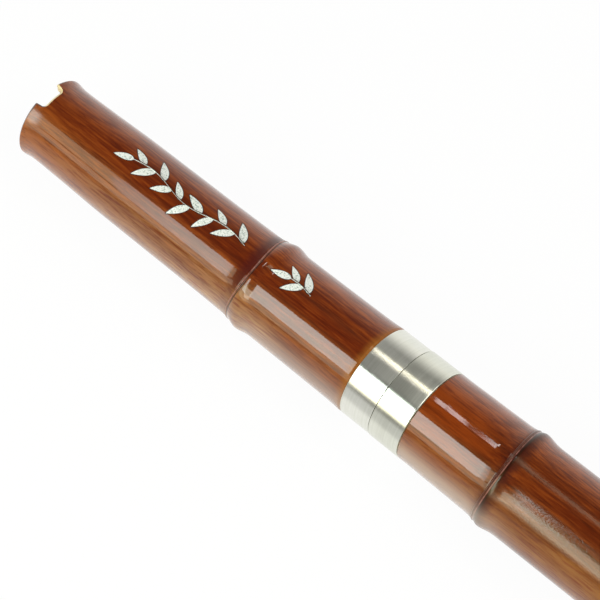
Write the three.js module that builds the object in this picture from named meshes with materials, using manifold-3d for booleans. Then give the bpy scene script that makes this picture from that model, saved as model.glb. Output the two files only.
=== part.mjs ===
// A notched bamboo flute in two sections, with a metal plug-in joint between them.
//
// Lengths are in millimetres. The flute lies along X, with its mouth at -X and its foot at +X.
// Z points up through the notch and the four front finger holes. The flute lies on the plane
// Z = 0, and the origin is under the middle of its length.

import * as THREE from "three";
import { mergeVertices } from "three/addons/utils/BufferGeometryUtils.js";
import Module from "manifold-3d";

const wasm = await Module();
wasm.setup();

// Overall sizes
const fluteLength = 545;
const jointFromMouth = 141.7;
const boreDiameter = 20.5;
const footBoreDiameter = 19;

// Running and glued fits, each measured from surface to surface
const slidingClearance = 0.1;
const glueGap = 0.12;
const sealClearance = 0.06;
const seamGap = 0.3;

// How far a cutter runs past the surface that it cuts
const overrun = 2;

// The culm's outside diameter where it is smooth
const mouth = { diameter: 26.9, chamfer: 0.45, boreChamfer: 0.35 };
const neck = { fromMouth: 5, diameter: 25.9 };
const collar = { fromMouth: 12, diameter: 26.2 };
const shoulder = { fromMouth: 31.5, diameter: 27.25 };
const foot = { diameter: 31.9, chamfer: 0.8, boreChamfer: 0.5 };

// The culm's nodes: where each ridge stands, its crest, and the culm just before and after it
const firstNode = { fromMouth: 88.05, before: 27.7, crest: 30.15, after: 28.6 };
const secondNode = { fromJoint: 39.85, before: 30.35, crest: 32.2, after: 30.6 };
const thirdNode = { before: 31, crest: 32.7, after: 31.1 };
const fourthNode = { before: 31.4, crest: 33.1, after: 31.5 };
const lastNode = { fromFoot: 45, before: 31.8, crest: 33.4, after: 32 };

// The form that every node has: a rise on the mouth side, a thin lip, a groove and a fall
const nodeRise = 6;
const nodeFall = 6.4;
const riseShares = [
  [0, 0],
  [0.4, 0.2],
  [0.75, 0.55],
  [0.93, 0.78],
  [0.98, 0.99],
  [1.02, 1],
];
const fallShares = [
  [0.09, 0.76],
  [0.2, 0.8],
  [0.42, 0.5],
  [0.7, 0.16],
  [1, 0],
];

// The blowing notch in the mouth's upper edge
const notch = { mouthWidth: 8.6, width: 8, depth: 2.9, cornerRadius: 1.3, lipRadius: 0.3 };
const notchBevel = { width: 0.8, drop: 0.45 };

// Finger holes: four in front and one behind, set out by the maker's rule of tenths
const fingerHole = { diameter: 10, sides: 24 };
const frontHoleShares = [0.48, 0.58, 0.68, 0.78];
const thumbHoleShare = 0.42;

// The joint: two outer rings, a tenon sleeve and a socket sleeve
const ferrule = { length: 10.7, wall: 0.8, edgeChamfer: 0.2 };
const upperFerruleDiameter = 29.5;
const lowerFerruleDiameter = 29.8;
const culmBevel = { length: 0.9, drop: 0.3 };
const culmEndRecess = 0.2;
const tenon = { wall: 1.5, held: 24, reach: 22, leadChamfer: 0.5 };
const socket = { wall: 0.8, tipClearance: 0.8, leadChamfer: 0.4 };

// The two rubber rings in the tenon's grooves
const groove = { depth: 0.8, width: 1.4, firstFromShoulder: 6, pitch: 9 };

// How many flat sides stand for a round surface
const culmSides = 32;
const jointSides = 64;
const sealSectionSides = 8;
const notchCurveSteps = 5;

// Derived sizes
const half = 0.5;
const boreRadius = boreDiameter * half;
const footBoreRadius = footBoreDiameter * half;
const upperFerruleRadius = upperFerruleDiameter * half;
const lowerFerruleRadius = lowerFerruleDiameter * half;
const tenonRadius = boreRadius + tenon.wall;
const socketRadius = tenonRadius + slidingClearance;
const socketOuterRadius = socketRadius + socket.wall;
const halfSeam = seamGap * half;
const upperEnd = jointFromMouth - halfSeam;
const lowerStart = jointFromMouth + halfSeam;
const upperSeatStart = upperEnd - ferrule.length + halfSeam;
const lowerSeatEnd = lowerStart + ferrule.length - halfSeam;
const socketLength = tenon.reach + socket.tipClearance;
const secondNodeFromMouth = jointFromMouth + secondNode.fromJoint;
const lastNodeFromMouth = fluteLength - lastNode.fromFoot;
const lowerInternodes = 3;
const lowerInternode = (lastNodeFromMouth - secondNodeFromMouth) / lowerInternodes;
const thirdNodeFromMouth = secondNodeFromMouth + lowerInternode;
const fourthNodeFromMouth = thirdNodeFromMouth + lowerInternode;
const axisHeight = Math.max(lastNode.crest, fourthNode.crest, thirdNode.crest, secondNode.crest) * half;

// Every round piece is cut as a prism whose flats touch the true circle, with a flat at the bottom.
function flatsFactor(sides) {
  return 1 / Math.cos(Math.PI / sides);
}

// Turns a closed outline of [distance from the mouth, radius] points about the flute's axis.
function turned(outline, sides) {
  const grow = flatsFactor(sides);
  const points = outline.map(([along, radius]) => new THREE.Vector2(radius * grow, along));
  points.push(points[0].clone());
  const geometry = new THREE.LatheGeometry(points, sides, Math.PI / sides);
  return geometry.rotateZ(-Math.PI / 2);
}

// A closed geometry as a solid that can be cut.
function solidOf(geometry) {
  const bare = geometry.index ? geometry.toNonIndexed() : geometry.clone();
  bare.deleteAttribute("normal");
  bare.deleteAttribute("uv");
  const merged = mergeVertices(bare);
  return new wasm.Manifold(
    new wasm.Mesh({
      numProp: 3,
      vertProperties: merged.attributes.position.array,
      triVerts: new Uint32Array(merged.index.array),
    }),
  );
}

// A cut solid as a geometry again.
function geometryOf(solid) {
  const cut = solid.getMesh();
  const geometry = new THREE.BufferGeometry();
  geometry.setAttribute("position", new THREE.BufferAttribute(cut.vertProperties, 3));
  geometry.setIndex(new THREE.BufferAttribute(cut.triVerts, 1));
  return geometry.toNonIndexed();
}

// The outline's points over one node, from the mouth side to the foot side.
function nodeOutline(position, node) {
  const before = node.before * half;
  const crest = node.crest * half;
  const after = node.after * half;
  const rise = riseShares.map(([along, lift]) => [
    position - nodeRise + nodeRise * along,
    before + (crest - before) * lift,
  ]);
  const fall = fallShares.map(([along, lift]) => [
    position + nodeFall * along,
    after + (crest - after) * lift,
  ]);
  return [...rise, ...fall];
}

// The upper section's bamboo, before the notch is cut.
function upperCulmOutline() {
  const seat = upperFerruleRadius - ferrule.wall - glueGap;
  const counterbore = tenonRadius + glueGap;
  const end = upperEnd - culmEndRecess;
  return [
    [0, mouth.diameter * half - mouth.chamfer],
    [mouth.chamfer, mouth.diameter * half],
    [neck.fromMouth, neck.diameter * half],
    [collar.fromMouth, collar.diameter * half],
    [shoulder.fromMouth, shoulder.diameter * half],
    ...nodeOutline(firstNode.fromMouth, firstNode),
    [upperSeatStart - culmBevel.length, upperFerruleRadius],
    [upperSeatStart - glueGap, upperFerruleRadius - culmBevel.drop],
    [upperSeatStart - glueGap, seat],
    [end, seat],
    [end, counterbore],
    [upperEnd - tenon.held - glueGap, counterbore],
    [upperEnd - tenon.held - glueGap, boreRadius],
    [mouth.boreChamfer, boreRadius],
    [0, boreRadius + mouth.boreChamfer],
  ];
}

// The lower section's bamboo, before the finger holes are cut.
function lowerCulmOutline() {
  const seat = lowerFerruleRadius - ferrule.wall - glueGap;
  const counterbore = socketOuterRadius + glueGap;
  const start = lowerStart + culmEndRecess;
  const socketEnd = start + socketLength + glueGap;
  return [
    [start, seat],
    [lowerSeatEnd + glueGap, seat],
    [lowerSeatEnd + glueGap, lowerFerruleRadius - culmBevel.drop],
    [lowerSeatEnd + culmBevel.length, lowerFerruleRadius],
    ...nodeOutline(secondNodeFromMouth, secondNode),
    ...nodeOutline(thirdNodeFromMouth, thirdNode),
    ...nodeOutline(fourthNodeFromMouth, fourthNode),
    ...nodeOutline(lastNodeFromMouth, lastNode),
    [fluteLength - foot.chamfer, foot.diameter * half],
    [fluteLength, foot.diameter * half - foot.chamfer],
    [fluteLength, footBoreRadius + foot.boreChamfer],
    [fluteLength - foot.boreChamfer, footBoreRadius],
    [socketEnd, boreRadius],
    [socketEnd, counterbore],
    [start, counterbore],
  ];
}

// One outer ring of the joint.
function ferruleOutline(start, end, radius) {
  const inner = radius - ferrule.wall;
  return [
    [start, inner],
    [start, radius - ferrule.edgeChamfer],
    [start + ferrule.edgeChamfer, radius],
    [end - ferrule.edgeChamfer, radius],
    [end, radius - ferrule.edgeChamfer],
    [end, inner],
  ];
}

// The middle of each seal groove, from the mouth.
const grooveCentres = [0, 1].map((turn) => upperEnd + groove.firstFromShoulder + groove.pitch * turn);

// The tenon sleeve, with a groove for each rubber ring.
function tenonOutline() {
  const tip = upperEnd + tenon.reach;
  const grooveBottom = tenonRadius - groove.depth;
  const halfGroove = groove.width * half;
  const grooves = grooveCentres.flatMap((centre) => [
    [centre - halfGroove, tenonRadius],
    [centre - halfGroove, grooveBottom],
    [centre + halfGroove, grooveBottom],
    [centre + halfGroove, tenonRadius],
  ]);
  return [
    [upperEnd - tenon.held, boreRadius],
    [upperEnd - tenon.held, tenonRadius],
    ...grooves,
    [tip - tenon.leadChamfer, tenonRadius],
    [tip, tenonRadius - tenon.leadChamfer],
    [tip, boreRadius],
  ];
}

// The socket sleeve that lines the lower section's end.
function socketOutline() {
  const start = lowerStart + culmEndRecess;
  const end = start + socketLength;
  return [
    [start, socketRadius + socket.leadChamfer],
    [start, socketOuterRadius],
    [end, socketOuterRadius],
    [end, socketRadius],
    [start + socket.leadChamfer, socketRadius],
  ];
}

// One rubber ring, in its groove and just clear of the socket's wall.
function sealRing(centre) {
  const inner = tenonRadius - groove.depth + sealClearance;
  const outer = socketRadius - sealClearance;
  const grow = flatsFactor(jointSides);
  const ringRadius = (inner + outer) * half * grow;
  const sectionRadius = (outer - inner) * half;
  const ring = new THREE.TorusGeometry(ringRadius, sectionRadius, sealSectionSides, jointSides);
  ring.rotateZ(Math.PI / jointSides).rotateY(Math.PI / 2);
  return ring.translate(centre, 0, 0);
}

// The notch's outline seen from above: X runs down the flute from the mouth's edge.
function notchShape() {
  const halfMouth = notch.mouthWidth * half;
  const halfBottom = notch.width * half;
  const shape = new THREE.Shape();
  shape.moveTo(-overrun, halfMouth);
  shape.lineTo(0, halfMouth);
  shape.quadraticCurveTo(notch.lipRadius, halfMouth - notch.lipRadius * half, notch.lipRadius * 2, halfBottom);
  shape.lineTo(notch.depth - notch.cornerRadius, halfBottom);
  shape.quadraticCurveTo(notch.depth, halfBottom, notch.depth, halfBottom - notch.cornerRadius);
  shape.lineTo(notch.depth, notch.cornerRadius - halfBottom);
  shape.quadraticCurveTo(notch.depth, -halfBottom, notch.depth - notch.cornerRadius, -halfBottom);
  shape.lineTo(notch.lipRadius * 2, -halfBottom);
  shape.quadraticCurveTo(notch.lipRadius, notch.lipRadius * half - halfMouth, 0, -halfMouth);
  shape.lineTo(-overrun, -halfMouth);
  shape.closePath();
  return shape;
}

// The cutter for the notch: a straight shaft with a bevel round its upper rim.
function notchCutter() {
  const topRadius = mouth.diameter * half;
  const shaft = new THREE.ExtrudeGeometry(notchShape(), {
    depth: topRadius + overrun,
    bevelEnabled: false,
    curveSegments: notchCurveSteps,
  });
  const bevel = new THREE.ExtrudeGeometry(notchShape(), {
    depth: overrun,
    bevelThickness: notchBevel.drop,
    bevelSize: notchBevel.width,
    bevelSegments: 1,
    curveSegments: notchCurveSteps,
  });
  bevel.translate(0, 0, topRadius);
  return solidOf(shaft).add(solidOf(bevel));
}

// The cutter for one finger hole, from the flute's axis out through one wall.
function holeCutter(fromMouth, side) {
  const reach = axisHeight + overrun;
  const radius = fingerHole.diameter * half;
  const cutter = new THREE.CylinderGeometry(radius, radius, reach, fingerHole.sides);
  cutter.rotateX(Math.PI / 2).translate(fromMouth, 0, side * reach * half);
  return solidOf(cutter);
}

// The upper section's bamboo with its notch.
function upperBamboo() {
  const culm = solidOf(turned(upperCulmOutline(), culmSides));
  return geometryOf(culm.subtract(notchCutter()));
}

// The lower section's bamboo with its finger holes.
function lowerBamboo() {
  let culm = solidOf(turned(lowerCulmOutline(), culmSides));
  for (const share of frontHoleShares) {
    culm = culm.subtract(holeCutter(share * fluteLength, 1));
  }
  culm = culm.subtract(holeCutter(thumbHoleShare * fluteLength, -1));
  return geometryOf(culm);
}

const flute = new THREE.Group();
flute.position.set(-fluteLength * half, 0, axisHeight);

// Adds one named piece with a finish of its own.
function addPiece(name, geometry, color, roughness, metalness) {
  const finish = new THREE.MeshStandardMaterial({ color, roughness, metalness });
  const piece = new THREE.Mesh(geometry, finish);
  piece.name = name;
  flute.add(piece);
}

const lacqueredBamboo = 0x84421f;
const nickelSilver = 0xc3c2b6;
const sleeveMetal = 0xb9a878;
const blackRubber = 0x1c1b1a;

addPiece("upper_bamboo", upperBamboo(), lacqueredBamboo, 0.28, 0);
addPiece("lower_bamboo", lowerBamboo(), lacqueredBamboo, 0.28, 0);
addPiece(
  "upper_ferrule",
  turned(ferruleOutline(upperSeatStart, upperEnd, upperFerruleRadius), jointSides),
  nickelSilver,
  0.34,
  1,
);
addPiece(
  "lower_ferrule",
  turned(ferruleOutline(lowerStart, lowerSeatEnd, lowerFerruleRadius), jointSides),
  nickelSilver,
  0.34,
  1,
);
addPiece("tenon_sleeve", turned(tenonOutline(), jointSides), sleeveMetal, 0.3, 1);
addPiece("socket_sleeve", turned(socketOutline(), jointSides), sleeveMetal, 0.3, 1);
addPiece("front_seal_ring", sealRing(grooveCentres[0]), blackRubber, 0.8, 0);
addPiece("rear_seal_ring", sealRing(grooveCentres[1]), blackRubber, 0.8, 0);

export default flute;
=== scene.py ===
"""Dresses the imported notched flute: two lacquered culms, the metal plug joint, a leaf inlay and a studio.

A length whose name ends in no unit is in millimetres. Distances along the flute start at its mouth, and
angles round it start at its top, where the notch is, and grow towards +Y. Meshes are in metres.
"""

import logging
import math
from dataclasses import dataclass
from enum import IntEnum
from typing import Any, Iterable, NamedTuple, Sequence

import bpy
import numpy as np
from mathutils import Matrix, Vector


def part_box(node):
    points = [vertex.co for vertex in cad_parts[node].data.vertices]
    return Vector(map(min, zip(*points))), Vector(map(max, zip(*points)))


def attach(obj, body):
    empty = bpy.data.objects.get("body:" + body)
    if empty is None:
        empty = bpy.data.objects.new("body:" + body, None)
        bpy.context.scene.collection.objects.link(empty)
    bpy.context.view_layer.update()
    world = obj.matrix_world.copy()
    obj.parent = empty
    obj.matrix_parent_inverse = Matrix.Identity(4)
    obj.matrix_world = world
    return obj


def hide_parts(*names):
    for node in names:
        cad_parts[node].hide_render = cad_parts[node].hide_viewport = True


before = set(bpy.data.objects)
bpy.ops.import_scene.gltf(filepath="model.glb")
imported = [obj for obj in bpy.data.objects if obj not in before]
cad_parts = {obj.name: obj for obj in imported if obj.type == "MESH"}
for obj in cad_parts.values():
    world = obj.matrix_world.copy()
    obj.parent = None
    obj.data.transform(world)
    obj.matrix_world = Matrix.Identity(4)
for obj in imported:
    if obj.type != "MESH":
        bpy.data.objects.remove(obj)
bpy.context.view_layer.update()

MM = 0.001
FULL_TURN = 2.0 * math.pi
LOG = logging.getLogger("flute")

Colour = tuple[float, float, float]
Knots = Sequence[tuple[float, float]]
Socket = bpy.types.NodeSocket
Material = bpy.types.Material
Piece = bpy.types.Object


class CulmFinish(IntEnum):
    """Which finish a strip of a culm's surface has: the order of its material slots.

    Attributes:
        LACQUER: the lacquered outside.
        BARE: cut bamboo.
        BORE: the lacquered bore.
        EDGE: the bevel round the mouth.
    """

    LACQUER = 0
    BARE = 1
    BORE = 2
    EDGE = 3


def linear(red: int, green: int, blue: int) -> Colour:
    """A colour written as on a screen, 0 to 255 a channel, as the linear values that a shader takes."""
    shares = [channel / 255.0 for channel in (red, green, blue)]
    return tuple(c / 12.92 if c <= 0.04045 else ((c + 0.055) / 1.055) ** 2.4 for c in shares)


def smooth_through(knots: Knots, at: np.ndarray) -> np.ndarray:
    """Values of the smooth curve through the knots that never overshoots them.

    Args:
        knots: (position, value) pairs in rising order of position.
        at: the positions asked for, held to the knots' range.

    Returns:
        One value for each position.
    """
    x, y = np.array(knots, float).T
    step = np.diff(x)
    slope = np.diff(y) / step
    turn = slope[:-1] * slope[1:]
    total = np.where(turn > 0.0, slope[:-1] + slope[1:], 1.0)
    inner = np.where(turn > 0.0, 2.0 * turn / total, 0.0)
    tangent = np.concatenate([slope[:1], inner, slope[-1:]])
    held = np.clip(at, x[0], x[-1])
    k = np.clip(np.searchsorted(x, held, side="right") - 1, 0, len(step) - 1)
    t = (held - x[k]) / step[k]
    near = y[k] * (1 + 2 * t) * (1 - t) ** 2 + tangent[k] * step[k] * t * (1 - t) ** 2
    far = y[k + 1] * t**2 * (3 - 2 * t) + tangent[k + 1] * step[k] * t**2 * (t - 1)
    return near + far


def smooth_step(share: np.ndarray | float) -> np.ndarray:
    """A share from 0 to 1 with its two ends eased."""
    held = np.clip(share, 0.0, 1.0)
    return held * held * (3.0 - 2.0 * held)


def signed(angle: np.ndarray) -> np.ndarray:
    """Angles as they lie between half a turn to each side of the top."""
    return (angle + math.pi) % FULL_TURN - math.pi


def spread(knots: Knots, foot: float, top: float) -> list[tuple[float, float]]:
    """Knots whose values from 0 to 1 are spread from the foot to the top."""
    return [(x, foot + (top - foot) * lift) for x, lift in knots]


def in_scene(name: str, data: bpy.types.ID) -> Piece:
    """A new object in the scene."""
    piece = bpy.data.objects.new(name, data)
    bpy.context.scene.collection.objects.link(piece)
    return piece


@dataclass(frozen=True)
class FluteAxis:
    """Where the flute's axis lies in the row's frame, in metres.

    Attributes:
        mouth_x: the mouth's plane.
        height: the axis above the ground.
    """

    mouth_x: float
    height: float

    @classmethod
    def from_frame(cls) -> "FluteAxis":
        """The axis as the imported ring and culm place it."""
        low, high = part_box("upper_ferrule")
        return cls(mouth_x=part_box("upper_bamboo")[0].x, height=(low.z + high.z) / 2)

    def x(self, at: Any) -> Any:
        """The x of a distance from the mouth."""
        return self.mouth_x + at * MM

    def points(self, along: Any, angle: Any, radius: Any) -> np.ndarray:
        """Points in the row's frame.

        Args:
            along: distance from the mouth.
            angle: angle round the axis from the top, in radians.
            radius: distance from the axis.

        Returns:
            An array whose last axis is x, y, z in metres.
        """
        along, angle, radius = np.broadcast_arrays(along, angle, radius)
        across = radius * np.sin(angle) * MM
        above = self.height + radius * np.cos(angle) * MM
        return np.stack([self.x(along), across, above], axis=-1)


AXIS = FluteAxis.from_frame()


class NodeGraph:
    """Adds and joins the nodes of one shader or geometry tree."""

    def __init__(self, tree: bpy.types.NodeTree) -> None:
        """Takes the tree to be filled, and empties it."""
        self.tree = tree
        tree.nodes.clear()

    def add(self, kind: str, inputs: dict[str | int, Any] | None = None, **settings: Any) -> bpy.types.Node:
        """One new node.

        Args:
            kind: the node's type name.
            inputs: value or source socket for each input, by its name or index.
            **settings: the node's own properties.

        Returns:
            The node.
        """
        node = self.tree.nodes.new(kind)
        for name, value in settings.items():
            setattr(node, name, value)
        for key, value in (inputs or {}).items():
            self.feed(node.inputs[key], value)
        return node

    def get(self, kind: str, inputs: dict | None = None, output: str | int = 0, **settings: Any) -> Socket:
        """An output of one new node, the first if none is named."""
        return self.add(kind, inputs, **settings).outputs[output]

    def feed(self, socket: Socket, value: Any) -> None:
        """Joins a source socket to an input, or sets the input's own value."""
        if isinstance(value, Socket):
            self.tree.links.new(value, socket)
        else:
            socket.default_value = value

    def maths(self, operation: str, *values: Any) -> Socket:
        """The result of one Math node."""
        return self.get("ShaderNodeMath", dict(enumerate(values)), operation=operation)

    def mul(self, first: Any, second: Any) -> Socket:
        """Two values multiplied."""
        return self.maths("MULTIPLY", first, second)

    def mad(self, first: Any, second: Any, third: Any) -> Socket:
        """Two values multiplied, and a third added."""
        return self.maths("MULTIPLY_ADD", first, second, third)

    def vector(self, operation: str, *values: Any) -> Socket:
        """The vector result of one Vector Math node."""
        return self.get("ShaderNodeVectorMath", dict(enumerate(values)), operation=operation)

    def scaled(self, vector: Any, factor: Any) -> Socket:
        """A vector times a factor."""
        return self.get("ShaderNodeVectorMath", {0: vector, "Scale": factor}, operation="SCALE")

    def xyz(self, **parts: Any) -> Socket:
        """A vector made of X, Y and Z, each 0 if not given."""
        return self.get("ShaderNodeCombineXYZ", parts)

    def parts(self, vector: Socket) -> tuple[Socket, Socket, Socket]:
        """A vector's X, Y and Z."""
        return tuple(self.add("ShaderNodeSeparateXYZ", {0: vector}).outputs)

    def window(self, value: Any, low: float, high: float, start: float = 0.0, end: float = 1.0,
               easing: str = "SMOOTHSTEP") -> Socket:
        """Maps a range of values to another, and holds it outside.

        Args:
            value: the value.
            low: where the range starts.
            high: where it ends, which may be below the start.
            start: the result there and before.
            end: the result at its end and beyond.
            easing: the Map Range node's interpolation.

        Returns:
            The result.
        """
        inputs = {"Value": value, "From Min": low, "From Max": high, "To Min": start, "To Max": end}
        return self.get("ShaderNodeMapRange", inputs, interpolation_type=easing)


class ShaderGraph(NodeGraph):
    """A new material's tree.

    Attributes:
        MIX_COLOURS: the Mix node's two colour inputs.
        MIX_RESULT: its colour output.
        place: the Object coordinates, in metres.
    """

    MIX_COLOURS = (6, 7)
    MIX_RESULT = 2

    def __init__(self, name: str) -> None:
        """Makes the material, with this name."""
        self.material = bpy.data.materials.new(name)
        self.material.use_nodes = True
        super().__init__(self.material.node_tree)
        self.place = self.get("ShaderNodeTexCoord", output="Object")

    def noise(self, scale: tuple[float, float, float], detail: float = 2.0, warp: float = 0.0) -> Socket:
        """Noise from 0 to 1 that is stretched along the flute's own directions.

        Args:
            scale: features per metre along X, Y and Z.
            detail: how many finer layers it has.
            warp: the noise's distortion.

        Returns:
            The noise's value.
        """
        stretched = self.vector("MULTIPLY", self.place, scale)
        inputs = {"Vector": stretched, "Scale": 1.0, "Detail": detail, "Distortion": warp}
        return self.get("ShaderNodeTexNoise", inputs, "Fac")

    def ramp(self, factor: Any, stops: Sequence[tuple[float, Colour]]) -> Socket:
        """A colour ramp through (position, colour) stops."""
        node = self.add("ShaderNodeValToRGB", {"Fac": factor})
        elements = node.color_ramp.elements
        while len(elements) < len(stops):
            elements.new(0.5)
        for element, (position, colour) in zip(elements, stops):
            element.position = position
            element.color = (*colour, 1.0)
        return node.outputs["Color"]

    def blend(self, factor: Any, first: Any, second: Any) -> Socket:
        """Two colours mixed by a factor."""
        colours = [(*value, 1.0) if isinstance(value, tuple) else value for value in (first, second)]
        inputs = {0: factor, **dict(zip(self.MIX_COLOURS, colours))}
        return self.get("ShaderNodeMix", inputs, self.MIX_RESULT, data_type="RGBA")

    def bump(self, height: Any, depth: float, normal: Any = None) -> Socket:
        """A bump normal whose full height is depth millimetres, on another normal if one is given."""
        inputs = {"Height": height, "Strength": 1.0, "Distance": depth * MM}
        if normal is not None:
            inputs["Normal"] = normal
        return self.get("ShaderNodeBump", inputs)

    def surface(self, **inputs: Any) -> Material:
        """Ends the tree in a Principled surface.

        Args:
            **inputs: its inputs, with underscores for the spaces in their names.

        Returns:
            The material.
        """
        named = {name.replace("_", " "): value for name, value in inputs.items()}
        shader = self.get("ShaderNodeBsdfPrincipled", named)
        self.add("ShaderNodeOutputMaterial", {"Surface": shader})
        return self.material


class CulmGraph(ShaderGraph):
    """A lacquered culm's tree, with the noises and positions that its layers share.

    Attributes:
        HALF_WIDTH: the culm's usual half width.
        streaks, strands, fibres: lengthwise noise, from coarse to fine.
        clouds: slow noise.
        along: the x position, in metres.
        level: the height, in metres.
        side: 1 on the -Y side, 0 at the top, -1 on the +Y side.
        station: the x position without a node's sway, in metres.
    """

    HALF_WIDTH = 14.5

    def __init__(self, name: str) -> None:
        """Makes the material, with this name."""
        super().__init__(name)
        self.streaks = self.noise((24.0, 620.0, 620.0), 3.0)
        self.strands = self.noise((150.0, 1700.0, 1700.0), 3.0)
        self.fibres = self.noise((110.0, 4200.0, 4200.0))
        self.clouds = self.noise((24.0, 170.0, 170.0), 3.0, 0.4)
        self.along, across, self.level = self.parts(self.place)
        self.side = self.mul(across, -1.0 / (self.HALF_WIDTH * MM))
        self.station = self.get("ShaderNodeAttribute", output="Fac", attribute_name="station")


@dataclass(frozen=True)
class Stain:
    """A band of another colour round the culm: lacquer that gathers, as it does at a node, and, at the lower
    ring's edge, a dark line of painted shade in the gap.

    Attributes:
        at: its middle, from the mouth.
        mouth_reach: how far it runs towards the mouth.
        foot_reach: how far it runs towards the foot.
        strength: how much of the culm's colour it takes.
        colour: its own colour.
        waver: how far its two ends stray.
        lit_flank: how much of it shows on the lit -Y side.
    """

    at: float
    mouth_reach: float
    foot_reach: float
    strength: float
    colour: Colour
    waver: float = 1.0
    lit_flank: float = 1.0


@dataclass(frozen=True)
class LacqueredBamboo:
    """Clear gloss lacquer over stained bamboo, with lengthwise fibres and darker nodes.

    Attributes:
        name: the material's name.
        dark: the stain in the deepest streaks.
        middle: its usual colour.
        light: its colour where the cane shows through.
        thin: its colour towards the section's start, where the stain is thin.
        thin_from: where the thin stain starts to deepen, from the mouth.
        thin_to: where it is as deep as elsewhere.
        stains: the colours that gather along the section.
        crest_glint_after: nodes behind which pale spots are painted as highlight where the crest catches the
            light.
        peel_from: from where on the lacquer's surface is slightly pebbled.
        tan: the pale colour of those painted highlight spots.
        lit_flank: a paler colour painted on the culm's -Y side, painted light where the lamps fall.
        lit_flank_share: how much of it shows there.
        lit_flank_end: where most of it ends, from the mouth.
        thin_share: how much of the thin stain shows away from the -Y side. The thin stain is real, but that
            it shows fully on the lit -Y side is painted light.
        thin_cover: how much of the paler colour painted on the lit -Y side the thin stain hides.
        reflection_amber: the palest streaks on its +Y side, a painted soft reflection.
        lips: the nodes whose lip gets a painted highlight.
        lip: the colour of that painted highlight.
        groove: the colour of the painted shade in the groove behind it.
        groove_width: how far that reaches.
        reflection_haze: the whitish painted reflection of the pale ground in the lacquer, low on the -Y side.
        reflection_haze_share: how much of it there is at most.
        reflection_haze_knots: where it starts, is full, starts to fade and ends, from the mouth.
    """

    name: str
    dark: Colour
    middle: Colour
    light: Colour
    thin: Colour
    thin_from: float
    thin_to: float
    stains: tuple[Stain, ...]
    crest_glint_after: tuple[float, ...] = ()
    peel_from: float = 1000.0
    tan: Colour = linear(146, 116, 76)
    lit_flank: Colour = linear(170, 126, 76)
    lit_flank_share: float = 0.95
    lit_flank_end: float = 1000.0
    thin_share: float = 0.15
    thin_cover: float = 0.95
    reflection_amber: Colour = linear(156, 76, 24)
    lips: tuple[float, ...] = ()
    lip: Colour = linear(150, 100, 90)
    groove: Colour = linear(30, 7, 6)
    groove_width: float = 1.5
    reflection_haze: Colour = linear(178, 160, 147)
    reflection_haze_share: float = 0.4
    reflection_haze_knots: tuple[float, float, float, float] = (70.0, 108.0, 172.0, 200.0)

    def build(self) -> Material:
        """The finished material."""
        graph = CulmGraph(self.name)
        tone = graph.mul(graph.streaks, 0.42)
        for noise, share in ((graph.strands, 0.50), (graph.fibres, 0.12), (graph.clouds, 0.24)):
            tone = graph.mad(noise, share, tone)
        colour = graph.ramp(tone, ((0.52, self.dark), (0.64, self.middle), (0.78, self.light)))
        thin = self.thinned(graph, tone)
        colour = self.painted_side_light(graph, thin, graph.blend(thin, colour, self.thin))
        speck = graph.window(graph.noise((420.0, 1900.0, 1900.0)), 0.64, 0.78)
        colour = graph.blend(graph.mul(speck, 0.6), colour, self.dark)
        colour, gathered = self.stained(graph, colour)
        colour = self.painted_lip_glint_and_groove_shade(graph, self.painted_crest_glints(graph, colour))
        # painted reflection: a whitish haze of the pale ground, low on the -Y side
        colour = graph.blend(self.painted_reflection_share(graph), colour, self.reflection_haze)
        return self.coated(graph, colour, gathered)

    def thinned(self, graph: CulmGraph, tone: Socket) -> Socket:
        """How thin the stain is, towards the section's start and most in its light streaks, and fuller on the
        lit -Y side as painted light.
        """
        thin = graph.window(graph.along, AXIS.x(self.thin_from), AXIS.x(self.thin_to), 1.0, 0.0)
        # painted light: the paler thin stain shows most on the lit -Y side
        thin = graph.mul(thin, graph.window(graph.side, 0.0, 0.8, self.thin_share, 1.0))
        return graph.mul(thin, graph.mad(graph.window(tone, 0.48, 0.76), 0.75, 0.2))

    def painted_side_light(self, graph: CulmGraph, thin: Socket, colour: Socket) -> Socket:
        """The colour with painted light, a paler colour on the lit -Y side, and a painted soft reflection,
        warmer pale streaks on the +Y side.
        """
        fading = AXIS.x(self.lit_flank_end)
        # painted light: the -Y side, which faces the lamps, takes a paler colour
        pale = graph.window(graph.side, 0.6, 0.95, 0.0, self.lit_flank_share)
        pale = graph.mul(pale, graph.window(graph.clouds, 0.38, 0.64, 0.4, 1.0))
        pale = graph.mul(pale, graph.mad(thin, -self.thin_cover, 1.0))
        pale = graph.mul(pale, graph.window(graph.along, fading, fading + 12.0 * MM, 1.0, 0.3))
        grained = graph.mad(graph.strands, 0.7, graph.mul(graph.streaks, 0.3))
        lit_flank = graph.blend(graph.window(grained, 0.34, 0.56), self.light, self.lit_flank)
        colour = graph.blend(pale, colour, lit_flank)
        # painted soft reflection: warmer pale streaks on the +Y side
        warm = graph.blend(graph.window(grained, 0.34, 0.66), self.middle, self.reflection_amber)
        return graph.blend(graph.window(graph.side, 0.0, -0.4, 0.0, 0.75), colour, warm)

    def stained(self, graph: CulmGraph, colour: Socket) -> tuple[Socket, Socket]:
        """The colour with each stain laid over it, and how thickly the stains cover it."""
        gathered = 0.0
        stray = graph.maths("SUBTRACT", graph.mad(graph.streaks, 1.6, graph.clouds), 1.3)
        for stain in self.stains:
            offset = graph.maths("SUBTRACT", graph.station, AXIS.x(stain.at))
            offset = graph.mad(stray, stain.waver * MM, offset)
            toward_foot = graph.mul(offset, 1.0 / (stain.foot_reach * MM))
            toward_mouth = graph.mul(offset, -1.0 / (stain.mouth_reach * MM))
            distance = graph.maths("MAXIMUM", toward_foot, toward_mouth)
            cover = graph.window(distance, 0.1, 1.0, stain.strength, 0.0)
            cover = graph.mul(cover, graph.window(graph.side, 0.5, 0.88, 1.0, stain.lit_flank))
            colour = graph.blend(cover, colour, stain.colour)
            gathered = graph.maths("MAXIMUM", gathered, cover)
        return colour, gathered

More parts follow.
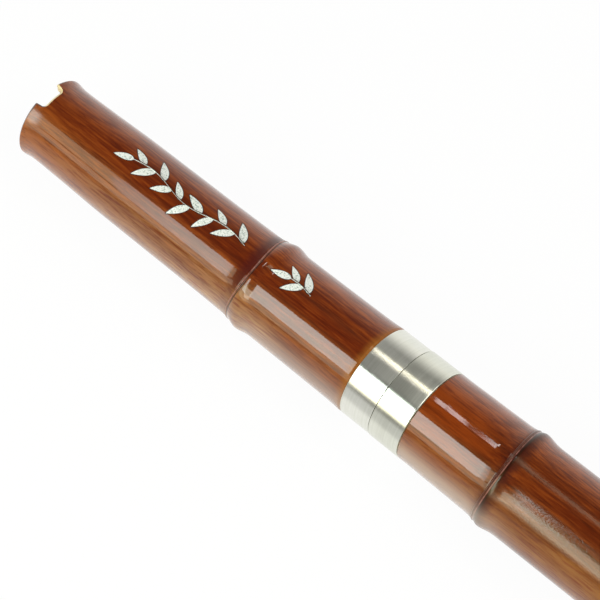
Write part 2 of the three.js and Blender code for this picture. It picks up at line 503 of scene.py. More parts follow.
    def painted_crest_glints(self, graph: CulmGraph, colour: Socket) -> Socket:
        """The colour with pale spots behind some nodes on the -Y side: painted highlight where the node's
        crest catches the light.
        """
        patches = graph.noise((260.0, 420.0, 420.0))
        patches = graph.mul(patches, graph.window(graph.side, 0.4, 0.56))
        patches = graph.mul(patches, graph.window(graph.side, 0.74, 0.9, 1.0, 0.0))
        # painted highlight: pale spots just behind the node, on the -Y side
        for node in self.crest_glint_after:
            start = AXIS.x(node + 0.5)
            behind = graph.window(graph.station, start, start + 0.5 * MM)
            ending = graph.window(graph.station, start + 0.8 * MM, start + 2.6 * MM, 1.0, 0.0)
            cover = graph.mul(graph.mul(behind, ending), graph.window(patches, 0.38, 0.52, 0.0, 0.4))
            colour = graph.blend(cover, colour, self.tan)
        return colour

    def painted_lip_glint_and_groove_shade(self, graph: CulmGraph, colour: Socket) -> Socket:
        """The colour with a painted highlight along each node's lip and painted shade in the groove behind
        it.
        """
        wear_and_glint = graph.window(graph.streaks, 0.36, 0.58, 0.25, 0.8)
        for lip in self.lips:
            offset = graph.maths("SUBTRACT", graph.station, AXIS.x(lip))
            # painted shade in the groove behind the lip
            filled = graph.window(offset, 0.12 * MM, 0.4 * MM)
            ended = graph.window(offset, 0.5 * MM, self.groove_width * MM, 0.85, 0.0)
            colour = graph.blend(graph.mul(filled, ended), colour, self.groove)
            # painted highlight along the lip's crest, broken up by the streaks
            crest = graph.maths("ABSOLUTE", graph.maths("ADD", offset, 0.04 * MM))
            crest = graph.window(crest, 0.09 * MM, 0.24 * MM, 1.0, 0.0)
            colour = graph.blend(graph.mul(crest, wear_and_glint), colour, self.lip)
        return colour

    def painted_reflection_share(self, graph: CulmGraph) -> Socket:
        """How much painted reflection of the pale ground the lacquer has, low on the -Y side."""
        start, full, fading, end = (AXIS.x(at) for at in self.reflection_haze_knots)
        rising = graph.window(graph.along, start, full, 0.0, self.reflection_haze_share)
        reflection_haze = graph.mul(rising, graph.window(graph.along, fading, end, 1.0, 0.0))
        low = graph.window(graph.level, AXIS.height + 9.0 * MM, AXIS.height + 1.0 * MM)
        return graph.mul(graph.mul(low, graph.window(graph.side, 0.5, 0.8)), reflection_haze)

    def coated(self, graph: CulmGraph, colour: Socket, gathered: Socket) -> Material:
        """The material with its clear coat, which is rougher from wear at the mouth and pebbled towards the
        foot.
        """
        streaks, strands, fibres = graph.streaks, graph.strands, graph.fibres
        pebbles = graph.noise((1400.0, 2000.0, 2000.0), 1.0)
        peel_start = AXIS.x(self.peel_from)
        peeled = graph.window(graph.along, peel_start, peel_start + 4.0 * MM)
        form = graph.bump(graph.noise((5.0, 240.0, 240.0), 1.0), 0.05)
        waves = graph.mad(streaks, 0.7, graph.mul(strands, 0.9))
        waves = graph.mad(graph.mul(peeled, pebbles), 4.0, waves)
        wear_and_glint = graph.window(graph.along, AXIS.mouth_x, AXIS.x(12.0), 0.15, 0.0)
        return graph.surface(
            Base_Color=colour,
            Roughness=graph.window(fibres, 0.3, 0.7, 0.30, 0.42),
            Normal=graph.bump(graph.mad(fibres, 0.3, streaks), 0.010, form),
            Coat_Normal=graph.bump(waves, 0.005, form),
            Coat_Weight=graph.mul(graph.mad(peeled, -0.2, 1.0), graph.mad(gathered, -0.5, 1.0)),
            Coat_Roughness=graph.maths("ADD", graph.mad(peeled, 0.08, 0.04), wear_and_glint),
            Coat_IOR=1.46,
            Specular_IOR_Level=0.28,
            Specular_Tint=(1.0, 0.75, 0.25, 1.0),
        )


@dataclass(frozen=True)
class GrainedFinish:
    """A finish whose colour, relief and gloss follow one noise.

    Attributes:
        name: the material's name.
        scale: the noise's features per metre along X, Y and Z.
        detail: how many finer layers it has.
        stops: the colours, each with the noise's value there.
        depth: how deep the relief is.
        gloss: the roughness where the noise is low and where it is high.
        extra: further inputs of the Principled surface.
    """

    name: str
    scale: tuple[float, float, float]
    detail: float
    stops: tuple[tuple[float, Colour], ...]
    depth: float
    gloss: tuple[float, float]
    extra: tuple[tuple[str, float], ...] = ()

    def build(self) -> Material:
        """The finished material."""
        graph = ShaderGraph(self.name)
        grains = graph.noise(self.scale, self.detail)
        colour = self.tinted(graph, graph.ramp(grains, self.stops))
        rough = graph.window(grains, 0.3, 0.7, *self.gloss)
        relief = graph.bump(grains, self.depth)
        return graph.surface(Base_Color=colour, Roughness=rough, Normal=relief, **dict(self.extra))

    def tinted(self, graph: ShaderGraph, colour: Socket) -> Socket:
        """The colour as it is, unless a finish adds to it."""
        return colour


@dataclass(frozen=True)
class RimEdge(GrainedFinish):
    """The mouth's narrow bevel: dark lacquer round the rim, bare cane beside the notch.

    Attributes:
        cane: the bare cane's colour.
        cane_start: where the cane starts, across the flute.
        cane_reach: where it ends.
        start_fade, reach_fade: how far its two ends run out.
    """

    cane: Colour = linear(228, 208, 156)
    cane_start: float = -3.2
    cane_reach: float = 4.6
    start_fade: float = 0.5
    reach_fade: float = 0.7

    def tinted(self, graph: ShaderGraph, colour: Socket) -> Socket:
        """The lacquer's colour, with bare cane beside the notch."""
        _, across, level = graph.parts(graph.place)
        start, reach = self.cane_start, self.cane_reach
        near = graph.window(across, reach * MM, (reach + self.reach_fade) * MM, 1.0, 0.0)
        near = graph.mul(near, graph.window(across, (start - self.start_fade) * MM, start * MM))
        above = graph.window(level, AXIS.height, AXIS.height + 4.0 * MM)
        return graph.blend(graph.mul(near, above), colour, self.cane)


RIM_EDGE = RimEdge(
    "rim_edge", (700.0, 1600.0, 1600.0), 3.0, ((0.4, linear(58, 34, 18)), (0.7, linear(104, 62, 28))),
    0.015, (0.3, 0.45), (("Coat_Weight", 0.4), ("Coat_Roughness", 0.1)),
)
BORE_LACQUER = GrainedFinish(
    "bore_lacquer", (18.0, 520.0, 520.0), 3.0, ((0.35, linear(46, 12, 8)), (0.68, linear(92, 26, 14))),
    0.03, (0.22, 0.34), (("Coat_Weight", 0.5), ("Coat_Roughness", 0.08)),
)
SEAL_RUBBER = GrainedFinish(
    "seal_rubber", (900.0, 900.0, 900.0), 4.0, ((0.45, linear(20, 20, 19)), (0.75, linear(52, 51, 48))),
    0.01, (0.62, 0.8),
)
SILVER_PAINT = GrainedFinish(
    "silver_paint", (2100.0, 2100.0, 2100.0), 2.0,
    ((0.32, linear(160, 173, 166)), (0.42, linear(218, 226, 219)), (0.56, linear(240, 243, 238))),
    0.03, (0.5, 0.38), (("Metallic", 0.15),),
)
# painted shade: a dark layer under and round the silver that stands for the shadow at the inlay's cut edge
CUT_SHADE = GrainedFinish(
    "cut_shade", (700.0, 2200.0, 2200.0), 2.0, ((0.4, linear(40, 14, 8)), (0.7, linear(78, 30, 14))),
    0.02, (0.4, 0.55),
)


@dataclass(frozen=True)
class BareBamboo:
    """Cut bamboo: pale pith with brown fibre bundles, which crowd towards the skin.

    Attributes:
        light: the pith.
        dark: the pith's darker patches.
        bundle: the bundles.
        bundle_pitch: how far apart they are.
        skin: the radius at which they are thickest.
    """

    light: Colour = linear(236, 216, 172)
    dark: Colour = linear(214, 186, 136)
    bundle: Colour = linear(150, 108, 62)
    bundle_pitch: float = 0.62
    skin: float = 15.5

    def build(self) -> Material:
        """The finished material."""
        graph = ShaderGraph("bare_bamboo")
        pith = graph.noise((60.0, 700.0, 700.0), 3.0)
        grain = graph.noise((120.0, 4200.0, 4200.0))
        stops = ((0.38, self.dark), (0.58, self.light))
        colour = graph.ramp(graph.mad(grain, 0.4, graph.mul(pith, 0.6)), stops)
        pitch = 1000.0 / self.bundle_pitch
        cells = graph.vector("MULTIPLY", graph.place, (25.0, pitch, pitch))
        inputs = {"Vector": cells, "Scale": 1.0, "Randomness": 0.85}
        distance = graph.get("ShaderNodeTexVoronoi", inputs, "Distance")
        across = graph.vector("SUBTRACT", graph.place, (0.0, 0.0, AXIS.height))
        across = graph.vector("MULTIPLY", across, (0.0, 1.0, 1.0))
        radius = graph.get("ShaderNodeVectorMath", {0: across}, "Value", operation="LENGTH")
        reach = graph.window(radius, 10.0 * MM, self.skin * MM, 0.20, 0.44)
        bundles = graph.window(graph.maths("SUBTRACT", distance, reach), -0.08, 0.10, 0.75, 0.0)
        colour = graph.blend(bundles, colour, self.bundle)
        shape = graph.bump(graph.maths("SUBTRACT", grain, bundles), 0.015)
        rough = graph.window(pith, 0.3, 0.7, 0.42, 0.6)
        return graph.surface(Base_Color=colour, Roughness=rough, Normal=shape)


@dataclass(frozen=True)
class TurnedMetal:
    """Metal turned on a lathe and brushed round: scratches run round the axis.

    Attributes:
        name: the material's name.
        colour: the metal's colour.
        shade: its colour in the scratches.
        roughness: its roughness.
        stretch: how much wider its gloss spreads along the axis than round it.
        scratch_depth: how deep the scratches are.
    """

    name: str
    colour: Colour
    shade: Colour
    roughness: float
    stretch: float
    scratch_depth: float

    def build(self) -> Material:
        """The finished material."""
        graph = ShaderGraph(self.name)
        fine = graph.noise((9000.0, 70.0, 70.0))
        bands = graph.noise((1500.0, 35.0, 35.0))
        film = graph.noise((90.0, 160.0, 160.0), 3.0)
        mixed = graph.mad(film, 0.2, graph.mad(bands, 0.45, graph.mul(fine, 0.35)))
        return graph.surface(
            Base_Color=graph.ramp(mixed, ((0.38, self.shade), (0.6, self.colour))),
            Metallic=1.0,
            Roughness=graph.window(mixed, 0.35, 0.65, self.roughness * 0.94, self.roughness * 1.06),
            Anisotropic=self.stretch,
            Anisotropic_Rotation=0.25,
            Tangent=graph.get("ShaderNodeTangent", direction_type="RADIAL", axis="X"),
            Normal=graph.bump(fine, self.scratch_depth),
        )


class SurfaceMesh:
    """Collects a piece's points and faces, and which of its edges are sharp."""

    def __init__(self, name: str) -> None:
        """Starts an empty mesh with the piece's name."""
        self.name = name
        self.points: list[np.ndarray] = []
        self.stations: list[np.ndarray] = []
        self.creases: list[np.ndarray] = []
        self.faces: list[np.ndarray] = []
        self.finishes: list[np.ndarray] = []
        self.count = 0
        self.next_crease = 1

    def row(self, points: np.ndarray, sharp: bool = False, station: Any = None) -> np.ndarray:
        """Adds a row of points.

        Args:
            points: one x, y, z for each.
            sharp: whether the edges between them are sharp.
            station: their distances from the mouth without the node's sway, where it sways them.

        Returns:
            Their indices.
        """
        size = len(points)
        self.points.append(points)
        self.stations.append(points[:, 0] if station is None else AXIS.x(station))
        self.creases.append(np.full(size, self.next_crease if sharp else 0))
        self.next_crease += int(sharp)
        self.count += size
        return np.arange(self.count - size, self.count)

    def strip(self, first: np.ndarray, second: np.ndarray, finish: int, keep: Any = slice(None)) -> None:
        """Joins two closed rows with a strip of four-sided faces.

        Args:
            first: the indices of one row.
            second: the indices of the next row.
            finish: the faces' material slot.
            keep: which of the faces are made, all by default.
        """
        quads = np.stack([first, second, np.roll(second, -1), np.roll(first, -1)], axis=1)[keep]
        self.faces.append(quads)
        self.finishes.append(np.full(len(quads), finish))

    def build(self, materials: Iterable[Material]) -> Piece:
        """The mesh as an object in the scene, smooth except at its sharp edges."""
        mesh = bpy.data.meshes.new(self.name)
        mesh.from_pydata(np.concatenate(self.points).tolist(), [], np.concatenate(self.faces).tolist())
        for material in materials:
            mesh.materials.append(material)
        mesh.polygons.foreach_set("material_index", np.concatenate(self.finishes).astype(np.int32))
        mesh.shade_smooth()
        ends = np.zeros(len(mesh.edges) * 2, np.int32)
        mesh.edges.foreach_get("vertices", ends)
        crease = np.concatenate(self.creases)[ends.reshape(-1, 2)]
        sharp = (crease[:, 0] > 0) & (crease[:, 0] == crease[:, 1])
        stations = np.concatenate(self.stations).astype(np.float32)
        mesh.attributes.new("sharp_edge", "BOOLEAN", "EDGE").data.foreach_set("value", sharp)
        mesh.attributes.new("station", "FLOAT", "POINT").data.foreach_set("value", stations)
        mesh.update()
        return in_scene(self.name, mesh)


@dataclass(frozen=True)
class NodeRidge:
    """One of the culm's nodes: a slow rise, a thin raised lip, a groove and a slow fall.

    Attributes:
        at: the lip's distance from the mouth.
        before: the culm's diameter on the mouth side.
        crest: the lip's diameter.
        after: the culm's diameter on the foot side.
        wander: how far the ridge strays along the flute as it goes round.
        phase: where it strays most, in radians.
        bow: how far its two sides are drawn towards the mouth.
        side_lip: how high the lip is at its sides, for the crest's height.
        side_crest: how far behind the lip the crest is there.
        facing: the middle of the stretch that is not drawn, in radians.
        rise, fall: the lift before the lip and behind it, by the distance from it.
        side_rise, side_groove, side_fall: the same at the sides, with the groove's drop from the lip.
        lip_steps, slow_steps: where the culm needs rows of points, to both sides of the lip.
        sway_reach: how far along the culm the straying is felt.
        bow_start, bow_end: how far the drawing is felt, towards the mouth and towards the foot.
    """

    at: float
    before: float
    crest: float
    after: float
    wander: float = 0.3
    phase: float = 0.0
    bow: float = 1.4
    side_lip: float = 0.58
    side_crest: float = 1.8
    facing: float = -0.41
    rise: Knots = (
        (-6.0, 0.0), (-4.6, 0.06), (-3.6, 0.19), (-2.5, 0.37), (-1.5, 0.56), (-0.9, 0.69),
        (-0.5, 0.77), (-0.36, 0.73), (-0.24, 0.82), (-0.12, 0.97), (0.0, 1.0),
    )
    fall: Knots = (
        (0.12, 0.96), (0.24, 0.72), (0.36, 0.62), (0.55, 0.66), (0.9, 0.77), (1.28, 0.8),
        (1.9, 0.7), (2.7, 0.49), (3.6, 0.3), (4.5, 0.15), (5.4, 0.05), (6.4, 0.0),
    )
    side_rise: Knots = (
        (-6.0, 0.0), (-4.6, 0.02), (-3.6, 0.06), (-2.5, 0.16), (-1.5, 0.3), (-0.9, 0.42),
        (-0.5, 0.5), (-0.36, 0.47), (-0.24, 0.62), (-0.12, 0.93), (0.0, 1.0),
    )
    side_groove: Knots = ((0.12, -0.03), (0.26, -0.12), (0.4, -0.14), (0.7, -0.06))
    side_fall: Knots = ((0.2, 0.85), (0.45, 0.45), (0.7, 0.15), (1.0, 0.0))
    lip_steps: tuple[float, ...] = (
        0.06, 0.12, 0.18, 0.24, 0.3, 0.36, 0.45, 0.55, 0.7, 0.9, 1.1, 1.35, 1.65, 2.0,
    )
    slow_steps: tuple[float, ...] = (2.4, 2.9, 3.4, 4.0, 4.6, 5.3)
    sway_reach: float = 11.0
    bow_start: float = 7.0
    bow_end: float = 6.0

    def knots(self, aside: bool = False) -> list[tuple[float, float]]:
        """The (distance from the mouth, radius) knots over the node.

        Args:
            aside: for its sides, where the lip is low and the crest comes behind it.

        Returns:
            The knots, in rising order.
        """
        before, crest, after = self.before / 2, self.crest / 2, self.after / 2
        if not aside:
            over = spread(self.rise, before, crest) + spread(self.fall, after, crest)
            return [(self.at + x, radius) for x, radius in over]
        lip = before + (crest - before) * self.side_lip
        groove = [(x, lip + drop) for x, drop in self.side_groove]
        start, low = groove[-1]
        climb = [((start + self.side_crest) / 2, low + (crest - low) * 0.6), (self.side_crest, crest)]
        rest = self.fall[-1][0] - self.side_crest
        falling = [(self.side_crest + rest * x, radius) for x, radius in spread(self.side_fall, after, crest)]
        over = [*spread(self.side_rise, before, lip), *groove, *climb, *falling]
        return [(self.at + x, radius) for x, radius in over]

    def sidewise(self, angle: np.ndarray) -> np.ndarray:
        """How much each angle belongs to the node's sides, from 0 to 1."""
        return np.sin(angle - self.facing) ** 2

    def rows(self) -> list[float]:
        """Where the culm needs rows of points to show the node."""
        steps = self.lip_steps + self.slow_steps
        offsets = [self.rise[0][0], *(-s for s in steps), 0.0, *steps, self.fall[-1][0]]
        return [self.at + offset for offset in offsets]

    def sway(self, along: np.ndarray, angle: np.ndarray) -> np.ndarray:
        """How far points near the node stray along the flute."""
        offset = along - self.at
        near = smooth_step(1.5 - np.abs(offset) / self.sway_reach * 1.5)
        stray = 0.7 * np.sin(angle + self.phase) + 0.3 * np.sin(3.0 * angle + 2.0 * self.phase)
        drawn = smooth_step(1.0 - np.where(offset < 0.0, -offset / self.bow_start, offset / self.bow_end))
        return near * stray * self.wander - drawn * self.bow * self.sidewise(angle)


@dataclass(frozen=True)
class Notch:
    """The blowing notch in the mouth's upper edge, and the bevel round it and the mouth.

    Attributes:
        mouth_width: its width at the mouth's edge.
        width: its width further in.
        depth: how far it runs down the flute.
        corner: the radius of its two inner corners.
        lip: the radius of its two outer corners.
        bevel_width: the bevel's width round the notch.
        bevel_drop: how far the bevel drops.
        bevel_side: how far past the notch's sides it keeps that width.
        inner_edge: the bore's chamfer at the notch.
        rim: the bevel's width round the rest of the mouth.
        window: how far to each side of the top the points are crowded for it.
        reach: how far down the flute they stay crowded.
        ease: the length of edge over which its direction turns smoothly.
        samples: how many points the edge is measured at.
    """

    mouth_width: float = 8.5
    width: float = 8.0
    depth: float = 2.95
    corner: float = 1.25
    lip: float = 0.35
    bevel_width: float = 0.62
    bevel_drop: float = 0.45
    bevel_side: float = 0.8
    inner_edge: float = 0.12
    rim: float = 0.45
    window: float = 9.0
    reach: float = 9.0
    ease: float = 1.5
    samples: int = 1201

    def outline(self) -> tuple[np.ndarray, np.ndarray]:
        """One half of the notch's edge seen from above.

        Returns:
            The points as (along, across), from the notch's middle to the window's edge, and the
            length of the edge up to each.
        """
        half = self.width / 2
        outer = self.mouth_width / 2
        turn = np.linspace(0.0, math.pi / 2, 24)
        inner_x = self.depth - self.corner + self.corner * np.cos(turn)
        inner_y = half - self.corner + self.corner * np.sin(turn)
        lip_x = self.lip - self.lip * np.sin(turn)
        lip_y = outer + self.lip - self.lip * np.cos(turn)
        points = np.concatenate([
            [[self.depth, 0.0]],
            np.stack([inner_x, inner_y], axis=1),
            np.stack([lip_x, lip_y], axis=1),
            [[0.0, self.window]],
        ])
        steps = np.linalg.norm(np.diff(points, axis=0), axis=1)
        return points, np.concatenate([[0.0], np.cumsum(steps)])

    def edge(self, share: np.ndarray) -> tuple[np.ndarray, np.ndarray, np.ndarray, np.ndarray]:
        """Points on the mouth's edge inside the window.

        Args:
            share: where on the edge, from 0 at the middle to 1 at the window's edge, and below 0 on
                the other side.

        Returns:
            Along, across, and the two parts of the direction into the bamboo.
        """
        points, length = self.outline()
        fine = np.linspace(-length[-1], length[-1], self.samples)
        x = np.interp(np.abs(fine), length, points[:, 0])
        y = np.interp(np.abs(fine), length, points[:, 1]) * np.sign(fine)
        heading = np.unwrap(np.arctan2(np.gradient(y), np.gradient(x)))
        width = int(round(self.ease / (fine[1] - fine[0]))) | 1
        kernel = np.hanning(width + 2)
        kernel /= kernel.sum()
        padded = np.pad(heading, len(kernel) // 2, mode="edge")
        eased = np.convolve(padded, kernel, mode="valid")
        at = share * length[-1]
        turn = np.interp(at, fine, eased) - math.pi / 2
        return np.interp(at, fine, x), np.interp(at, fine, y), np.cos(turn), np.sin(turn)


@dataclass(frozen=True)
class FingerHole:
    """One finger hole with a softened rim.

    Attributes:
        at: its centre's distance from the mouth.
        turn: its angle round the flute: 0 in front, half a turn behind.
        diameter: its diameter.
        rim: how far its rim is softened.
        reach: the half length of the patch of culm round it.
        skin_shares: where loops of points lie on the culm, from the patch's edge to the rim.
        rim_steps: how many loops turn over the rim.
        wall_shares: where loops lie down its wall.
        bore_shares: where loops lie in the bore, from the patch's edge.
    """

    at: float
    turn: float = 0.0
    diameter: float = 10.0
    rim: float = 0.55
    reach: float = 8.0
    skin_shares: tuple[float, ...] = (0.2, 0.4, 0.6, 0.78, 0.92, 1.0)
    rim_steps: int = 5
    wall_shares: tuple[float, ...] = (0.3, 0.65)
    bore_shares: tuple[float, ...] = (1.0, 0.75, 0.5, 0.25)


class CulmRow(NamedTuple):
    """A row of a culm's points.

    Attributes:
        points: their indices.
        finish: the finish of the strip that follows.
        level: their distance from the mouth.
        patched: whether the holes' patches run through it.
    """

    points: np.ndarray
    finish: int
    level: float = 0.0
    patched: bool = False


@dataclass
class CulmSection:
    """A lacquered length of bamboo with a bore and a seat for its metal ring.

    Attributes:
        columns: how many points go round it.
        ring_wall: the metal ring's wall.
        ring_radius: the metal ring's radius, which the culm meets.
        glue_gap: the gap that the glue fills.
        bevel_length: the culm's bevel beside the ring.
        bevel_drop: how far that bevel drops.
        bore_radius: the bore's radius at the joint.
        outer_gap, bore_gap: how far apart rows of points may be, outside and in the bore.
        nodes: its nodes.
        tube: its (distance from the mouth, radius) knots up to the first node.
        tube_end: the same behind the last node.
    """

    columns: int = 160
    ring_wall: float = 0.8
    ring_radius: float = 14.9
    glue_gap: float = 0.12
    bevel_length: float = 0.9
    bevel_drop: float = 0.3
    bore_radius: float = 10.25
    outer_gap: float = 2.6
    bore_gap: float = 8.0
    nodes: tuple[NodeRidge, ...] = ()
    tube: Knots = ()
    tube_end: Knots = ()

    @property
    def seat_radius(self) -> float:
        """The culm's radius inside the ring."""
        return self.ring_radius - self.ring_wall - self.glue_gap

    def angles(self) -> np.ndarray:
        """The angle of each column, from the top round through +Y."""
        return np.arange(self.columns) * FULL_TURN / self.columns

    def radius(self, along: np.ndarray, sidewise: Any = 0.0) -> np.ndarray:
        """The outside radius at each distance from the mouth, and how much it is at a node's side."""
        facing, aside = (
            smooth_through([*self.tube, *self.node_knots(side), *self.tube_end], along)
            for side in (False, True)
        )
        return facing + (aside - facing) * sidewise

    def node_knots(self, aside: bool) -> list[tuple[float, float]]:
        """The knots over every node, for the nodes' sides or for the rest."""
        return [knot for node in self.nodes for knot in node.knots(aside)]

    @staticmethod
    def filled(stations: Iterable[float], gap: float) -> np.ndarray:
        """The stations in order, with more between those further apart than the gap."""
        ordered = sorted(set(round(float(s), 4) for s in stations))
        out = [ordered[0]]
        for station in ordered[1:]:
            parts = max(1, math.ceil((station - out[-1]) / gap))
            out.extend(np.linspace(out[-1], station, parts + 1)[1:])
        return np.array(out)


@dataclass
class UpperSection(CulmSection):
    """The upper culm, with the blowing notch, one node and the tenon's counterbore.

    It has its own values of some of a section's fields.

    Attributes:
        end: where the culm ends, inside the ring.
        seat_start: where the ring starts.
        bore_chamfer: the bore's chamfer at the mouth.
        counterbore_radius: the radius of the bore that takes the tenon.
        counterbore_start: where it starts.
        rim_shares: where rows lie between the mouth's edge and the first even row.
        bore_shares: the same in the bore, from the even row outwards.
        face_shares: where rows lie across the mouth's face, from the bore.
        notch: the blowing notch.
    """

    columns: int = 224
    ring_radius: float = 14.75
    end: float = 141.35
    seat_start: float = 131.0
    bore_chamfer: float = 0.35
    counterbore_radius: float = 11.87
    counterbore_start: float = 117.43
    rim_shares: tuple[float, ...] = (
        0.012, 0.035, 0.07, 0.115, 0.17, 0.235, 0.31, 0.4, 0.5, 0.61, 0.74, 0.87,
    )
    bore_shares: tuple[float, ...] = (0.85, 0.68, 0.5, 0.32, 0.16, 0.05)
    face_shares: tuple[float, ...] = (0.0, 0.25, 0.5, 0.75, 1.0)
    notch: Notch = Notch()
    nodes: tuple[NodeRidge, ...] = (
        NodeRidge(88.05, 27.7, 30.1, 28.6, wander=0.35, phase=0.8, bow=2.0, side_lip=0.36, side_crest=2.8),
    )
    tube: Knots = (
        (0.0, 13.42), (1.2, 13.3), (2.4, 13.09), (3.6, 12.98), (5.0, 12.93), (8.0, 12.94), (12.0, 13.02),
        (18.0, 13.14), (24.9, 13.32), (31.5, 13.48), (47.8, 13.58), (63.9, 13.64), (76.0, 13.76),
    )
    tube_end: Knots = ((100.0, 14.33), (110.7, 14.4), (125.8, 14.56), (130.1, 14.75))

    def crowd(self, radius: float) -> tuple[np.ndarray, ...]:
        """The mouth's edge as the columns meet it.

        Args:
            radius: the distance from the axis at which the columns are placed.

        Returns:
            For each column: along, angle, the two parts of the direction into the bamboo, and how
            much it belongs to the notch.
        """
        notch = self.notch
        even = signed(self.angles())
        outer_limit = math.asin(notch.window / self.tube[0][1])
        limit = math.asin(notch.window / radius)
        share = even / outer_limit
        along, across, into_x, into_y = notch.edge(np.clip(share, -1.0, 1.0))
        inside = np.arcsin(np.clip(across / radius, -1.0, 1.0))
        beyond = (np.abs(even) - outer_limit) / (math.pi - outer_limit)
        outside = np.sign(even) * (limit + beyond * (math.pi - limit))
        angle = np.where(np.abs(share) <= 1.0, inside, outside)
        narrowing = notch.window - notch.width / 2 - notch.bevel_side
        beside = smooth_step((notch.window - np.abs(across)) / narrowing)
        return along, angle, into_x, into_y, beside

    def rim_row(self, radius: float, inset_rim: float, inset_notch: float) -> tuple[np.ndarray, np.ndarray]:
        """Along and angle of a row that keeps a distance from the mouth's edge."""
        along, angle, into_x, into_y, beside = self.crowd(radius)
        inset = inset_rim + (inset_notch - inset_rim) * beside
        return along + into_x * inset, angle + into_y * inset / radius

    def blended(self, along: np.ndarray, angle: np.ndarray, share: float) -> tuple[np.ndarray, np.ndarray]:
        """A row between the mouth's edge and the first even row, at a share of the way."""
        level = along + (self.notch.reach - along) * share
        return level, angle + (signed(self.angles()) - angle) * smooth_step(share)

    def wall_row(self, radius: np.ndarray) -> tuple[np.ndarray, np.ndarray, np.ndarray]:
        """A row on the mouth's face and the notch's walls, which stand upright."""
        low = self.crowd(float(radius.min()))[1]
        high = self.crowd(float(radius.max()))[1]
        along = self.crowd(float(radius.mean()))[0]
        span = max(float(radius.max() - radius.min()), 1e-6)
        share = (radius - radius.min()) / span
        return along, low + (high - low) * share, radius

    def build(self, materials: Sequence[Material]) -> Piece:
        """The upper culm as one closed mesh."""
        lacquer, bare, bore, edge = CulmFinish
        shape = SurfaceMesh("upper_culm")
        rows: list[CulmRow] = []
        even = signed(self.angles())
        notch = self.notch
        node = self.nodes[0]
        rim = self.tube[0][1]

        def put(
            along: Any, angle: Any, radius: Any, finish: int, sharp: bool = False, station: Any = None
        ) -> None:
            rows.append(CulmRow(shape.row(AXIS.points(along, angle, radius), sharp, station), finish))

        along, angle = self.rim_row(rim, notch.rim, notch.bevel_width)
        put(along, angle, self.radius(along), lacquer, True)
        for share in self.rim_shares:
            level, turn = self.blended(along, angle, share)
            put(level, turn, self.radius(level), lacquer)
        bevel_start = self.seat_start - self.bevel_length
        for station in self.filled([notch.reach, *node.rows(), bevel_start], self.outer_gap)[:-1]:
            level = np.full(self.columns, station)
            radius = self.radius(level, node.sidewise(even))
            put(level + node.sway(level, even), even, radius, lacquer, False, level)
        face = self.seat_start - self.glue_gap
        for along, radius, finish in (
            (bevel_start, self.ring_radius, lacquer),
            (face, self.ring_radius - self.bevel_drop, bare),
            (face, self.seat_radius, bare),
            (self.end, self.seat_radius, bare),
            (self.end, self.counterbore_radius, bare),
            (self.counterbore_start, self.counterbore_radius, bare),
            (self.counterbore_start, self.bore_radius, bore),
        ):
            put(along, even, radius, finish, True)
        for station in self.filled([notch.reach, self.counterbore_start], self.bore_gap)[-2::-1]:
            put(station, even, self.bore_radius, bore)
        along, angle = self.rim_row(self.bore_radius, self.bore_chamfer, notch.inner_edge)
        for share in self.bore_shares:
            put(*self.blended(along, angle, share), self.bore_radius, bore)
        put(along, angle, self.bore_radius, bare, True)
        outer_face = self.radius(self.crowd(rim)[0]) - notch.bevel_drop
        inner_face = self.bore_radius + self.bore_chamfer
        for share in self.face_shares:
            radius = inner_face + (outer_face - inner_face) * share
            put(*self.wall_row(radius), edge if share == 1.0 else bare, share in (0.0, 1.0))
        for here, after in zip(rows, rows[1:] + rows[:1]):
            shape.strip(here.points, after.points, here.finish)
        return shape.build(materials)


